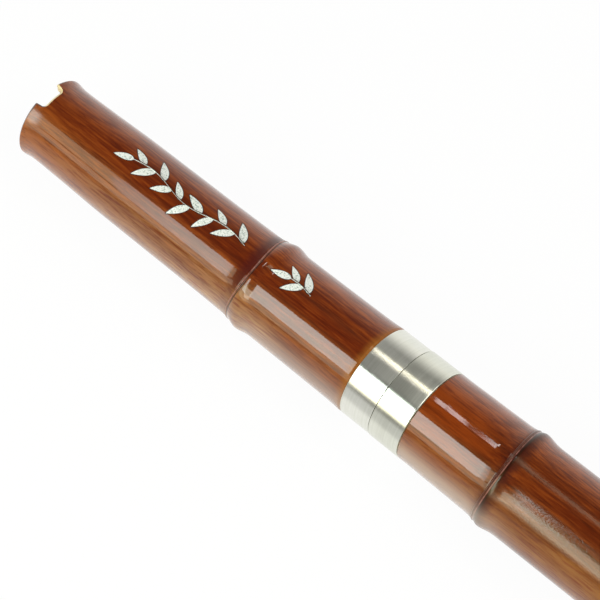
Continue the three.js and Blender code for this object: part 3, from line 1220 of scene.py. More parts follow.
@dataclass
class LowerSection(CulmSection):
    """The lower culm, with its nodes, its finger holes and the socket's counterbore.

    It has its own values of some of a section's fields.

    Attributes:
        start: where the culm starts, inside the ring.
        seat_end: where the ring ends.
        length: the flute's length.
        foot_radius: the culm's radius at the foot.
        foot_chamfer: its chamfer there.
        foot_bore_radius: the bore's radius at the foot.
        foot_bore_chamfer: its chamfer there.
        counterbore_radius: the radius of the bore that takes the socket.
        counterbore_end: where it ends.
        patch_angle: half the angle of culm, in degrees, that a hole's patch takes.
        patch_rows: how many rows of faces it replaces.
        holes: the finger holes.
    """

    start: float = 142.05
    seat_end: float = 152.4
    length: float = 545.0
    foot_radius: float = 15.95
    foot_chamfer: float = 0.8
    foot_bore_radius: float = 9.5
    foot_bore_chamfer: float = 0.5
    counterbore_radius: float = 12.77
    counterbore_end: float = 164.97
    patch_angle: float = 40.5
    patch_rows: int = 16
    bevel_length: float = 0.3
    bevel_drop: float = 0.25
    outer_gap: float = 3.2
    bore_gap: float = 9.0
    nodes: tuple[NodeRidge, ...] = (
        NodeRidge(181.55, 30.35, 32.2, 30.6, wander=0.2, phase=2.4),
        NodeRidge(287.7, 31.0, 32.7, 31.1, wander=0.35, phase=4.0),
        NodeRidge(393.85, 31.4, 33.1, 31.5, wander=0.3, phase=5.5),
        NodeRidge(500.0, 31.8, 33.38, 32.0, wander=0.3, phase=1.1),
    )
    holes: tuple[FingerHole, ...] = (
        FingerHole(228.9, math.pi),
        FingerHole(261.6),
        FingerHole(316.1),
        FingerHole(370.6),
        FingerHole(425.1),
    )
    tube: Knots = ((152.7, 14.9), (155.4, 14.86), (162.0, 14.98), (169.9, 15.06))

    def __post_init__(self) -> None:
        """Ends the tube at the foot's chamfer."""
        self.tube_end = ((self.foot_edge, self.foot_radius),)

    @property
    def foot_edge(self) -> float:
        """Where the foot's chamfer starts."""
        return self.length - self.foot_chamfer

    def bore(self, along: np.ndarray) -> np.ndarray:
        """The bore's radius, which narrows towards the foot."""
        share = (along - self.counterbore_end) / (self.length - self.counterbore_end)
        return self.bore_radius + (self.foot_bore_radius - self.bore_radius) * share

    def patch(self, hole: FingerHole) -> tuple[float, float, np.ndarray]:
        """The stretch of culm round a hole: its two ends and which strips between columns it takes."""
        middle = self.angles() + math.pi / self.columns + hole.turn
        taken = np.abs(signed(middle)) < math.radians(self.patch_angle)
        return hole.at - hole.reach, hole.at + hole.reach, taken

    def kept(self, here: CulmRow, after: CulmRow) -> np.ndarray:
        """Which faces between two rows are made: all but those of the holes' patches."""
        keep = np.ones(self.columns, bool)
        middle = (here.level + after.level) / 2
        for hole in self.holes:
            low, high, taken = self.patch(hole)
            if here.patched and after.patched and low < middle < high:
                keep &= ~taken
        return keep

    def build(self, materials: Sequence[Material]) -> Piece:
        """The lower culm as one closed mesh."""
        lacquer, bare, bore, _ = CulmFinish
        shape = SurfaceMesh("lower_culm")
        rows: list[CulmRow] = []
        turn = self.angles()

        def put(along: Any, radius: Any, finish: int, sharp: bool) -> None:
            level = float(np.mean(along))
            points = shape.row(AXIS.points(along, turn, radius), sharp, np.full(self.columns, level))
            rows.append(CulmRow(points, finish, level, not sharp))

        face = self.seat_end + self.glue_gap
        bevel_end = self.seat_end + self.bevel_length
        bore_edge = self.length - self.foot_bore_chamfer
        patch_stations = [
            station
            for hole in self.holes
            for station in np.linspace(hole.at - hole.reach, hole.at + hole.reach, self.patch_rows + 1)
        ]
        node_stations = [station for node in self.nodes for station in node.rows()]
        for along, radius, finish in (
            (self.start, self.counterbore_radius, bare),
            (self.start, self.seat_radius, bare),
            (face, self.seat_radius, bare),
            (face, self.ring_radius - self.bevel_drop, lacquer),
            (bevel_end, self.ring_radius, lacquer),
        ):
            put(along, radius, finish, True)
        sidewise = self.nodes[0].sidewise(turn)
        outer_stations = [bevel_end, *patch_stations, *node_stations, self.foot_edge]
        for station in self.filled(outer_stations, self.outer_gap)[1:-1]:
            level = np.full(self.columns, station)
            sway = sum(node.sway(level, turn) for node in self.nodes)
            put(level + sway, self.radius(level, sidewise), lacquer, False)
        for along, radius, finish in (
            (self.foot_edge, self.foot_radius, bare),
            (self.length, self.foot_radius - self.foot_chamfer, bare),
            (self.length, self.foot_bore_radius + self.foot_bore_chamfer, bare),
            (bore_edge, self.foot_bore_radius, bore),
        ):
            put(along, radius, finish, True)
        bore_stations = [self.counterbore_end, *patch_stations, bore_edge]
        for station in self.filled(bore_stations, self.bore_gap)[-2:0:-1]:
            put(station, self.bore(station), bore, False)
        for radius in (self.bore_radius, self.counterbore_radius):
            put(self.counterbore_end, radius, bare, True)
        for here, after in zip(rows, rows[1:] + rows[:1]):
            shape.strip(here.points, after.points, here.finish, self.kept(here, after))
        for hole in self.holes:
            self.add_hole(shape, hole, rows)
        return shape.build(materials)

    def loop(
        self, hole: FingerHole, rows: list[CulmRow], finish: int
    ) -> tuple[np.ndarray, np.ndarray, np.ndarray]:
        """The points round a hole's patch on one surface of the culm.

        Args:
            hole: the hole.
            rows: every row of the culm.
            finish: the finish of the surface's rows.

        Returns:
            Their indices, their distances from the mouth and their angles from the hole, in order.
        """
        low, high, taken = self.patch(hole)
        slack = 1e-3
        patched = [row for row in rows if row.patched and row.finish == finish]
        levels = [row for row in patched if low - slack < row.level < high + slack]
        levels.sort(key=lambda row: row.level)
        turned = signed(self.angles() - hole.turn)
        columns = np.flatnonzero(taken)
        columns = np.union1d(columns, (columns + 1) % self.columns)
        columns = columns[np.argsort(turned[columns])]
        count, depth = len(columns), len(levels)
        steps = [(0, c) for c in range(count - 1)]
        steps += [(d, count - 1) for d in range(depth - 1)]
        steps += [(depth - 1, c) for c in range(count - 1, 0, -1)]
        steps += [(d, 0) for d in range(depth - 1, 0, -1)]
        indices = np.array([levels[d].points[columns[c]] for d, c in steps])
        along = np.array([levels[d].level for d, _ in steps])
        angle = np.array([turned[columns[c]] for _, c in steps])
        return indices, along, angle

    def add_hole(self, shape: SurfaceMesh, hole: FingerHole, rows: list[CulmRow]) -> None:
        """Fills a hole's patches and joins them with its rim and wall."""
        lacquer, bare, bore, _ = CulmFinish
        outer, along, angle = self.loop(hole, rows, lacquer)
        inner, _, _ = self.loop(hole, rows, bore)
        heading = np.arctan2(angle / math.radians(self.patch_angle), (along - hole.at) / hole.reach)
        radius = hole.diameter / 2
        wide = radius + hole.rim

        def lying(surface: Any, reach: float, share: float) -> np.ndarray:
            x, y = hole.at + reach * np.cos(heading), reach * np.sin(heading)
            level = along + (x - along) * share
            near = np.arcsin(y / surface(x))
            return AXIS.points(level, angle + (near - angle) * share + hole.turn, surface(level))

        def upright(reach: float, drop: float, share: float) -> np.ndarray:
            x, y = hole.at + reach * np.cos(heading), reach * np.sin(heading)
            top = np.sqrt(self.radius(x) ** 2 - y**2) - drop
            bottom = np.sqrt(self.bore(x) ** 2 - y**2)
            height = top + (bottom - top) * share
            return AXIS.points(x, np.arctan2(y, height) + hole.turn, np.hypot(y, height))

        loops = [(outer, lacquer)]
        for share in hole.skin_shares:
            loops.append((shape.row(lying(self.radius, wide, share)), lacquer))
        for step in range(1, hole.rim_steps + 1):
            turn = step * math.pi / (2 * hole.rim_steps)
            reach = wide - hole.rim * math.sin(turn)
            drop = hole.rim * (1.0 - math.cos(turn))
            finish = lacquer if step < hole.rim_steps else bare
            loops.append((shape.row(upright(reach, drop, 0.0)), finish))
        for share in hole.wall_shares:
            loops.append((shape.row(upright(radius, hole.rim, share)), bare))
        for share in hole.bore_shares:
            loops.append((shape.row(lying(self.bore, radius, share), share == 1.0), bore))
        loops.append((inner, bore))
        for (first, finish), (second, _) in zip(loops, loops[1:]):
            shape.strip(first, second, finish)


class GeometryTree(NodeGraph):
    """A Geometry Nodes tree with named inputs, used once as a modifier.

    Attributes:
        SOCKETS: the socket that takes each type of value.
    """

    SOCKETS = {float: "NodeSocketFloat", int: "NodeSocketInt", Piece: "NodeSocketObject"}

    def __init__(self, name: str, inputs: dict[str, float | int | Piece | Material]) -> None:
        """Makes the tree.

        Args:
            name: the tree's name.
            inputs: the value of each named input.
        """
        super().__init__(bpy.data.node_groups.new(name, "GeometryNodeTree"))
        self.values = inputs
        face = self.tree.interface
        for way in ("INPUT", "OUTPUT"):
            face.new_socket("Geometry", in_out=way, socket_type="NodeSocketGeometry")
        for label, value in inputs.items():
            kind = "NodeSocketMaterial" if isinstance(value, Material) else self.SOCKETS[type(value)]
            face.new_socket(label, in_out="INPUT", socket_type=kind)
        self.source = self.add("NodeGroupInput").outputs

    def finish(self, geometry: Socket) -> None:
        """Ends the tree in Realize Instances and Set Material."""
        whole = self.get("GeometryNodeRealizeInstances", {"Geometry": geometry})
        inputs = {"Geometry": whole, "Material": self.source["Material"]}
        dressed = self.get("GeometryNodeSetMaterial", inputs)
        self.add("NodeGroupOutput", {0: dressed})

    def applied(self, name: str, seed_mesh: bpy.types.Mesh, crease: float | None = None) -> Piece:
        """The tree's result on a mesh, as a plain smooth mesh object.

        Args:
            name: the piece's name.
            seed_mesh: the mesh that the tree starts from.
            crease: the angle, in degrees, above which an edge stays sharp.

        Returns:
            The piece, in the scene, with no modifier.
        """
        piece = in_scene(name, seed_mesh)
        modifier = piece.modifiers.new(self.tree.name, "NODES")
        modifier.node_group = self.tree
        for item in self.tree.interface.items_tree:
            if item.item_type == "SOCKET" and item.in_out == "INPUT" and item.name in self.values:
                modifier[item.identifier] = self.values[item.name]
        bpy.context.view_layer.update()
        evaluated = piece.evaluated_get(bpy.context.evaluated_depsgraph_get())
        made = bpy.data.meshes.new_from_object(evaluated)
        piece.modifiers.clear()
        piece.data = made
        made.name = name
        made.shade_smooth()
        if crease is not None:
            made.set_sharp_from_angle(angle=math.radians(crease))
        return piece


@dataclass
class TurnedPiece:
    """A piece turned about the flute's axis from a closed outline.

    Attributes:
        name: the piece's name.
        outline: its closed outline as (distance from the mouth, radius). Its outside runs footwards.
        sides: how many steps it has round.
        crease: the angle, in degrees, above which an edge stays sharp.
    """

    name: str
    outline: list[tuple[float, float]]
    sides: int = 192
    crease: float = 30.0

    def build(self, material: Material) -> Piece:
        """The turned piece, made by a tree that sweeps the outline's points round the axis."""
        tree = GeometryTree(
            "turn_" + self.name,
            {
                "Sides": self.sides,
                "Outline Points": len(self.outline),
                "Axis Height": AXIS.height,
                "Material": material,
            },
        )
        sides, count = tree.source["Sides"], tree.source["Outline Points"]
        across, rounds = (tree.maths("ADD", number, 1.0) for number in (count, sides))
        grid = tree.get("GeometryNodeMeshGrid", {"Vertices X": across, "Vertices Y": rounds}, "Mesh")
        index = tree.get("GeometryNodeInputIndex")
        step = tree.maths("FLOOR", tree.maths("DIVIDE", tree.maths("ADD", index, 0.5), rounds))
        turn = tree.maths("SUBTRACT", index, tree.mul(step, rounds))
        angle = tree.maths("DIVIDE", tree.mul(turn, FULL_TURN), sides)
        wrapped = tree.maths("MODULO", tree.maths("ADD", step, 0.25), count)
        position = tree.get("GeometryNodeInputPosition")
        point = tree.maths("FLOOR", wrapped)
        inputs = {"Geometry": tree.source["Geometry"], "Value": position, "Index": point}
        sample = tree.get("GeometryNodeSampleIndex", inputs, data_type="FLOAT_VECTOR")
        along, radius, _ = tree.parts(sample)
        side = tree.mul(radius, tree.maths("SINE", angle))
        height = tree.maths("ADD", tree.mul(radius, tree.maths("COSINE", angle)), tree.source["Axis Height"])
        place = tree.xyz(X=along, Y=side, Z=height)
        swept = tree.get("GeometryNodeSetPosition", {"Geometry": grid, "Position": place})
        tree.finish(tree.get("GeometryNodeMergeByDistance", {"Geometry": swept, "Distance": 1e-6}))
        seed = bpy.data.meshes.new(self.name + "_outline")
        seed.from_pydata([(AXIS.x(x), r * MM, 0.0) for x, r in self.outline], [], [])
        return tree.applied(self.name, seed, self.crease)


def rounded(corners: Sequence[tuple[float, float, float]], steps: int = 4) -> list[tuple[float, float]]:
    """A closed outline with its corners rounded.

    Args:
        corners: (distance from the mouth, radius, rounding) for each corner in order.
        steps: how many parts each rounding has.

    Returns:
        The outline's points.
    """
    out: list[tuple[float, float]] = []
    spots = [np.array(c[:2]) for c in corners]
    for i, (x, r, size) in enumerate(corners):
        here, before, after = spots[i], spots[i - 1], spots[(i + 1) % len(spots)]
        if size <= 0.0:
            out.append((x, r))
            continue
        start = here + (before - here) / np.linalg.norm(before - here) * size
        end = here + (after - here) / np.linalg.norm(after - here) * size
        for t in np.linspace(0.0, 1.0, steps + 1):
            spot = (1 - t) ** 2 * start + 2 * t * (1 - t) * here + t**2 * end
            out.append((float(spot[0]), float(spot[1])))
    return out


@dataclass
class PlugJoint:
    """The joint between the sections: two outer rings, a tenon, a socket and two rubber seals.

    Attributes:
        joint: the seam's middle, from the mouth.
        seam: the gap between the two rings.
        shown_seam: the gap left between the rings' polished faces.
        ring_length, ring_wall: each ring's length and wall.
        ring_edge: how far the upper ring's edge on the bamboo is rounded.
        foot_edge: how far the lower ring's is.
        seam_edge: how far their edges at the seam are rounded.
        upper_radius, lower_radius: the two rings' radii.
        tenon_radius, tenon_bore: the tenon's outer and inner radii.
        tenon_held: how much of it is in the upper section.
        tenon_reach: how much of it stands out.
        tenon_lead: the bevel at its tip.
        grooves: how many grooves it has, with a seal in each.
        groove_depth, groove_width: their depth and width.
        groove_first, groove_pitch: the first groove's distance from the seam, and the next one's from it.
        socket_radius, socket_wall: the socket's inner radius and its wall.
        socket_recess: how far it lies behind the ring's face.
        socket_tip_gap: how far it goes on past the tenon's tip.
        socket_lead: the bevel at its mouth.
        seal_gap: how far the seals stay clear of their groove and of the socket.
        upper_silver, lower_silver: the two rings' metal, the same nickel silver in a lighter and a darker
            copy; the lower ring's darker colour is painted shade.
        brass: the sleeves' metal.
    """

    joint: float = 141.7
    seam: float = 0.3
    shown_seam: float = 0.24
    ring_length: float = 10.7
    ring_wall: float = 0.8
    ring_edge: float = 0.24
    foot_edge: float = 0.42
    seam_edge: float = 0.05
    upper_radius: float = 14.75
    lower_radius: float = 14.9
    tenon_radius: float = 11.75
    tenon_bore: float = 10.25
    tenon_held: float = 24.0
    tenon_reach: float = 22.0
    tenon_lead: float = 0.5
    grooves: int = 2
    groove_depth: float = 0.8
    groove_width: float = 1.4
    groove_first: float = 6.0
    groove_pitch: float = 9.0
    socket_radius: float = 11.85
    socket_wall: float = 0.8
    socket_recess: float = 0.2
    socket_tip_gap: float = 0.8
    socket_lead: float = 0.4
    seal_gap: float = 0.06
    # one metal in two copies: the lower ring is darker as painted shade
    upper_silver: TurnedMetal = TurnedMetal(
        "lit_nickel_silver", linear(238, 238, 228), linear(226, 227, 214), 0.30, 0.99, 0.0004
    )
    lower_silver: TurnedMetal = TurnedMetal(
        "shaded_nickel_silver", linear(231, 232, 219), linear(219, 220, 206), 0.30, 0.99, 0.0004
    )
    brass: TurnedMetal = TurnedMetal(
        "turned_brass", linear(222, 192, 128), linear(196, 164, 98), 0.22, 0.6, 0.002
    )

    @property
    def shoulder(self) -> float:
        """Where the tenon leaves the upper ring."""
        return self.joint - self.seam / 2

    def ring(
        self, name: str, ends: tuple[float, float], radius: float, edges: tuple[float, float]
    ) -> TurnedPiece:
        """One outer ring, with its two ends and the rounding of its outer edge at each."""
        (start, end), inner = ends, radius - self.ring_wall
        corners = [(start, inner, 0.0), (start, radius, edges[0]), (end, radius, edges[1]), (end, inner, 0.0)]
        return TurnedPiece(name, rounded(corners))

    def tenon(self) -> TurnedPiece:
        """The tenon sleeve with a groove for each seal."""
        tip = self.shoulder + self.tenon_reach
        outer, inner = self.tenon_radius, self.tenon_bore
        bottom = outer - self.groove_depth
        half = self.groove_width / 2
        start = self.shoulder - self.tenon_held
        corners = [(start, inner, 0.0), (start, outer, 0.15)]
        for turn in range(self.grooves):
            middle = self.shoulder + self.groove_first + self.groove_pitch * turn
            walls = ((-half, outer), (-half, bottom), (half, bottom), (half, outer))
            corners += [(middle + offset, radius, 0.1) for offset, radius in walls]
        lead = self.tenon_lead
        corners += [(tip - lead, outer, 0.2), (tip, outer - lead, 0.1), (tip, inner, 0.15)]
        return TurnedPiece("tenon_tube", rounded(corners, 3))

    def socket(self) -> TurnedPiece:
        """The socket sleeve that lines the lower section's end."""
        start = self.joint + self.seam / 2 + self.socket_recess
        end = start + self.tenon_reach + self.socket_tip_gap
        inner, outer = self.socket_radius, self.socket_radius + self.socket_wall
        corners = [
            (start, inner + self.socket_lead, 0.08), (start, outer, 0.1), (end, outer, 0.1),
            (end, inner, 0.1), (start + self.socket_lead, inner, 0.1),
        ]
        return TurnedPiece("socket_tube", rounded(corners, 3))

    def seals(self) -> Piece:
        """Both rubber seals, one swept ring placed in each groove by a tree."""
        inner = self.tenon_radius - self.groove_depth + self.seal_gap
        outer = self.socket_radius - self.seal_gap
        tree = GeometryTree(
            "seat_seals",
            {
                "Ring Radius": (inner + outer) / 2 * MM,
                "Section Radius": (outer - inner) / 2 * MM,
                "First": AXIS.x(self.shoulder + self.groove_first),
                "Pitch": self.groove_pitch * MM,
                "Count": self.grooves,
                "Axis Height": AXIS.height,
                "Material": SEAL_RUBBER.build(),
            },
        )
        source = tree.source
        path, section = (
            tree.get("GeometryNodeCurvePrimitiveCircle", {"Resolution": steps, "Radius": source[radius]})
            for steps, radius in ((128, "Ring Radius"), (16, "Section Radius"))
        )
        ring = tree.get("GeometryNodeCurveToMesh", {"Curve": path, "Profile Curve": section})
        upright = tree.get("GeometryNodeTransform", {"Geometry": ring, "Rotation": (0.0, math.pi / 2, 0.0)})
        start = tree.xyz(X=source["First"], Z=source["Axis Height"])
        inputs = {"Count": source["Count"], "Start Location": start, "Offset": tree.xyz(X=source["Pitch"])}
        seats = tree.get("GeometryNodeMeshLine", inputs)
        tree.finish(tree.get("GeometryNodeInstanceOnPoints", {"Points": seats, "Instance": upright}))
        return tree.applied("seal_pair", bpy.data.meshes.new("seal_seats"))

    def build(self) -> None:
        """Makes and seats every piece of the joint."""
        brass = self.brass.build()
        half = self.shown_seam / 2
        upper_ends = (self.joint - self.ring_length, self.joint - half)
        lower_ends = (self.joint + half, self.joint + self.ring_length)
        upper = self.ring("upper_ring", upper_ends, self.upper_radius, (self.ring_edge, self.seam_edge))
        lower = self.ring("lower_ring", lower_ends, self.lower_radius, (self.seam_edge, self.foot_edge))
        seat(upper.build(self.upper_silver.build()), "upper_section", "nickel_silver", "upper_ferrule")
        seat(lower.build(self.lower_silver.build()), "lower_section", "nickel_silver", "lower_ferrule")
        seat(self.tenon().build(brass), "upper_section", "sleeve_brass", "tenon_sleeve")
        seat(self.socket().build(brass), "lower_section", "sleeve_brass", "socket_sleeve")
        seat(self.seals(), "seal_rings", "seal_rubber", "front_seal_ring", "rear_seal_ring")


@dataclass(frozen=True)
class Sprig:
    """A stem with leaves to each side, cut into the culm's front.

    Attributes:
        start: the stem's foot, from the mouth.
        end: the stem's tip, nearer the mouth.
        sway: how far the stem swings to each side.
        wave: the length of one swing.
        leaves: how many leaves it carries.
        leaf: the length of a leaf.
    """

    start: float
    end: float
    sway: float
    wave: float
    leaves: int
    leaf: float

    def side(self, along: float) -> float:
        """How far the stem is to the side at a distance from the mouth."""
        return float(self.sway * np.sin((self.start - along) * FULL_TURN / self.wave))

    def heading(self, along: float, step: float = 0.1) -> float:
        """The stem's direction there, in radians from the flute's, over a short step."""
        return math.pi - math.atan((self.side(along - step) - self.side(along + step)) / (2 * step))


@dataclass
class LeafInlay:
    """A silver leafy vine let into the upper culm between the mouth and the joint.

    Attributes:
        sprigs: its stems.
        lean: the angle between a leaf and its stem, in degrees.
        slimness: a leaf's width for its length.
        stem_width: the stems' width.
        lift: how far the silver stands proud of the lacquer.
        cut_shade_lift: how far the dark layer of painted shade round the silver stands proud.
        sink: how far both go into the culm.
        margin: how far that painted shade shows round the silver.
        culm_radius: the radius that the flat plan is rolled on.
        ray_reach: how far from the axis the rays start that lay it on the culm.
        usual_leaf: the leaf's length that the margin is reckoned for.
        first_leaf: how far the first leaf is from the stem's foot.
        size_change: how much smaller the smallest leaf is than the others.
        size_beat: how fast the size changes from leaf to leaf, in radians.
        rooted: the power that draws a leaf's widest place towards its root.
        fullness: the power that fills out its outline.
        bend: how far its tip is bent aside, for its length.
        stem_points: how many points each stem's curve has.
    """

    sprigs: tuple[Sprig, ...] = (
        Sprig(start=81.0, end=36.5, sway=1.2, wave=30.0, leaves=12, leaf=7.6),
        Sprig(start=106.5, end=98.5, sway=0.8, wave=22.0, leaves=4, leaf=7.2),
    )
    lean: float = 40.0
    slimness: float = 0.33
    stem_width: float = 0.85
    lift: float = 0.05
    cut_shade_lift: float = 0.015
    sink: float = 0.12
    margin: float = 0.2
    culm_radius: float = 13.7
    ray_reach: float = 20.0
    usual_leaf: float = 6.2
    first_leaf: float = 1.0
    size_change: float = 0.16
    size_beat: float = 2.4
    rooted: float = 0.72
    fullness: float = 0.85
    bend: float = 0.10
    stem_points: int = 120

    def plan(self, name: str) -> bpy.types.Mesh:
        """The stems as edges and the leaves' roots as loose points, laid out flat.

        Args:
            name: the mesh's name.

        Returns:
            The mesh, with each leaf's direction and size as attributes. X is the distance from the
            mouth and Y the distance from the culm's top, in metres.
        """
        points: list[tuple[float, float, float]] = []
        edges: list[tuple[int, int]] = []
        turns: list[float] = []
        sizes: list[float] = []

        def mark(sprig: Sprig, along: float, turn: float, size: float) -> None:
            points.append((along * MM, sprig.side(along) * MM, 0.0))
            turns.append(turn)
            sizes.append(size)

        for sprig in self.sprigs:
            count = max(12, int(sprig.start - sprig.end))
            for i, along in enumerate(np.linspace(sprig.start, sprig.end, count)):
                if i:
                    edges.append((len(points) - 1, len(points)))
                mark(sprig, along, 0.0, 0.0)
            roots = np.linspace(sprig.start - self.first_leaf, sprig.end, sprig.leaves)
            for i, along in enumerate(roots):
                last = i == sprig.leaves - 1
                side = 0.0 if last else math.radians(self.lean) * (1 if i % 2 else -1)
                size = sprig.leaf * MM * (1.0 - self.size_change * math.sin(self.size_beat * i) ** 2)
                mark(sprig, along, sprig.heading(along) + side, size)
        mesh = bpy.data.meshes.new(name)
        mesh.from_pydata(points, edges, [])
        for label, values in (("turn", turns), ("size", sizes)):
            mesh.attributes.new(label, "FLOAT", "POINT").data.foreach_set("value", values)
        return mesh

    def layer(self, name: str, culm: Piece, material: Material, grow: float, top: float) -> Piece:
        """One layer of the vine, wrapped on the culm.

        Args:
            name: the piece's name.
            culm: the culm that carries it.
            material: its finish.
            grow: how much further than the leaf's edge it reaches.
            top: how far it stands above the culm.

        Returns:
            The piece.
        """
        tree = GeometryTree(
            "vine_" + name,
            {
                "Culm": culm,
                "Material": material,
                "Grow": grow * MM,
                "Top": top * MM,
                "Sink": self.sink * MM,
                "Slimness": self.slimness,
                "Stem Width": self.stem_width * MM,
                "Culm Radius": self.culm_radius * MM,
                "Mouth": AXIS.mouth_x,
                "Axis Height": AXIS.height,
            },
        )
        source = tree.source
        thickness = tree.maths("ADD", source["Top"], source["Sink"])
        size, turn = (
            tree.get("GeometryNodeInputNamedAttribute", {"Name": label}, data_type="FLOAT")
            for label in ("size", "turn")
        )
        compared = {0: size, 1: 1e-5}
        is_leaf = tree.get("FunctionNodeCompare", compared, data_type="FLOAT", operation="GREATER_THAN")
        inputs = {
            "Points": source["Geometry"],
            "Selection": is_leaf,
            "Instance": self.leaf_shape(tree, thickness),
            "Rotation": tree.xyz(Z=turn),
            "Scale": tree.xyz(X=size, Y=size, Z=1.0),
        }
        leaves = tree.get("GeometryNodeInstanceOnPoints", inputs)
        whole = tree.get("GeometryNodeRealizeInstances", {0: leaves})
        both = tree.add("GeometryNodeJoinGeometry", {0: whole})
        tree.feed(both.inputs[0], self.stem_shape(tree, thickness))
        tree.finish(self.wrapped(tree, both.outputs[0]))
        return tree.applied(name, self.plan(name + "_plan"), 35.0)

    def leaf_shape(self, tree: GeometryTree, thickness: Socket) -> Socket:
        """A closed leaf of length 1 along X from its root, slim and pointed, with a slight bend."""
        inputs = {"Size": (1.0, 1.0, 1.0), "Vertices X": 19, "Vertices Y": 5, "Vertices Z": 2}
        slab = tree.get("GeometryNodeMeshCube", inputs, "Mesh")
        x, y, z = tree.parts(tree.get("GeometryNodeInputPosition"))
        run = tree.maths("ADD", x, 0.5)
        swell = tree.maths("SINE", tree.mul(tree.maths("POWER", run, self.rooted), math.pi))
        swell = tree.maths("POWER", tree.maths("MAXIMUM", swell, 0.0), self.fullness)
        margin = tree.maths("DIVIDE", tree.source["Grow"], self.usual_leaf * MM / 2)
        width = tree.maths("ADD", tree.mul(swell, tree.source["Slimness"]), margin)
        across = tree.mad(y, width, tree.mul(tree.mul(run, run), self.bend))
        stretch = tree.mad(margin, 0.9, 1.0)
        length = tree.mad(tree.maths("SUBTRACT", run, 0.5), stretch, 0.5)
        place = tree.xyz(X=length, Y=across, Z=tree.mul(z, thickness))
        return tree.get("GeometryNodeSetPosition", {"Geometry": slab, "Position": place})

    def stem_shape(self, tree: GeometryTree, thickness: Socket) -> Socket:
        """The stems as flat closed ribbons."""
        curve = tree.get("GeometryNodeMeshToCurve", {"Mesh": tree.source["Geometry"]})
        even = tree.get("GeometryNodeResampleCurve", {"Curve": curve, "Count": self.stem_points})
        width = tree.mad(tree.source["Grow"], 2.0, tree.source["Stem Width"])
        section = tree.get("GeometryNodeCurvePrimitiveQuadrilateral", {"Width": thickness, "Height": width})
        upright = tree.get("GeometryNodeSetCurveNormal", {"Curve": even}, mode="Z_UP")
        inputs = {"Curve": upright, "Profile Curve": section, "Fill Caps": True}
        return tree.get("GeometryNodeCurveToMesh", inputs)

    def wrapped(self, tree: GeometryTree, geometry: Socket) -> Socket:
        """Lays flat geometry on the culm, along rays from outside towards the axis."""
        source = tree.source
        x, y, z = tree.parts(tree.get("GeometryNodeInputPosition"))
        angle = tree.maths("DIVIDE", y, source["Culm Radius"])
        outward = tree.xyz(Y=tree.maths("SINE", angle), Z=tree.maths("COSINE", angle))
        foot = tree.xyz(X=tree.maths("ADD", x, source["Mouth"]), Z=source["Axis Height"])
        reach = self.ray_reach * MM
        inputs = {
            "Target Geometry": tree.get("GeometryNodeObjectInfo", {"Object": source["Culm"]}, "Geometry"),
            "Source Position": tree.vector("ADD", foot, tree.scaled(outward, reach)),
            "Ray Direction": tree.scaled(outward, -1.0),
            "Ray Length": reach,
        }
        hit = tree.get("GeometryNodeRaycast", inputs, "Hit Position")
        level = tree.mad(tree.maths("SUBTRACT", source["Top"], source["Sink"]), 0.5, z)
        place = tree.vector("ADD", hit, tree.scaled(outward, level))
        laid = tree.get("GeometryNodeSetPosition", {"Geometry": geometry, "Position": place})
        return tree.get("GeometryNodeMergeByDistance", {"Geometry": laid, "Distance": 2e-6})

    def build(self, culm: Piece) -> None:
        """Makes the silver and a dark layer of painted shade round it, where the cut's edge would be, and
        seats both on the upper section.
        """
        silver = self.layer("leaf_silver", culm, SILVER_PAINT.build(), 0.0, self.lift)
        cut = self.layer("leaf_cut", culm, CUT_SHADE.build(), self.margin, self.cut_shade_lift)
        seat(silver, "upper_section", "nickel_silver")
        seat(cut, "upper_section", "lacquered_bamboo")


def seat(piece: Piece, body: str, slot: str, *nodes: str) -> None:
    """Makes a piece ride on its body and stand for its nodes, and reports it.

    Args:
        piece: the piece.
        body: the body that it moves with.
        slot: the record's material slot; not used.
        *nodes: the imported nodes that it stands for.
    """
    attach(piece, body)
    if nodes:
        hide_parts(*nodes)
    LOG.info("%s: %d faces, rides on %s", piece.name, len(piece.data.polygons), body)


@dataclass(frozen=True)
class Panel:
    """A soft rectangular lamp that faces the flute.

    Attributes:
        name: its name.
        along: its x, in metres.
        lean: its angle round the flute from straight above towards +Y, in degrees.
        reach: how far it is from the flute's axis, in metres.
        size: its length along the flute and its width, in metres.
        radiance: how bright its face is.
        colour: its colour.
        dim: how bright its end towards the mouth is, for the rest, which is full.
        dim_share: how much of its length that end takes.
    """

    name: str
    along: float
    lean: float
    reach: float
    size: tuple[float, float]
    radiance: float
    colour: Colour
    dim: float = 1.0
    dim_share: float = 0.36

    def build(self) -> None:
        """Hangs the lamp in the studio."""
        data = bpy.data.lights.new(self.name, "AREA")
        data.shape = "RECTANGLE"
        data.size, data.size_y = self.size
        data.energy = self.radiance * math.pi * self.size[0] * self.size[1]
        data.color = self.colour
        lean = math.radians(self.lean)
        away = Vector((0.0, math.sin(lean), math.cos(lean)))
        length = Vector((1.0, 0.0, 0.0))
        centre = Vector((self.along, 0.0, AXIS.height)) + away * self.reach
        lamp = in_scene(self.name, data)
        basis = Matrix((length, away.cross(length), away)).transposed()
        lamp.matrix_world = Matrix.Translation(centre) @ basis.to_4x4()
        lamp.visible_camera = False
        if self.dim < 1.0:
            data.use_nodes = True
            graph = NodeGraph(data.node_tree)
            run, _, _ = graph.parts(graph.get("ShaderNodeNewGeometry", output="Parametric"))
            level = graph.window(run, 0.0, self.dim_share, self.dim, 1.0, "LINEAR")
            glow = graph.get("ShaderNodeEmission", {"Strength": level})
            graph.add("ShaderNodeOutputLight", {"Surface": glow})


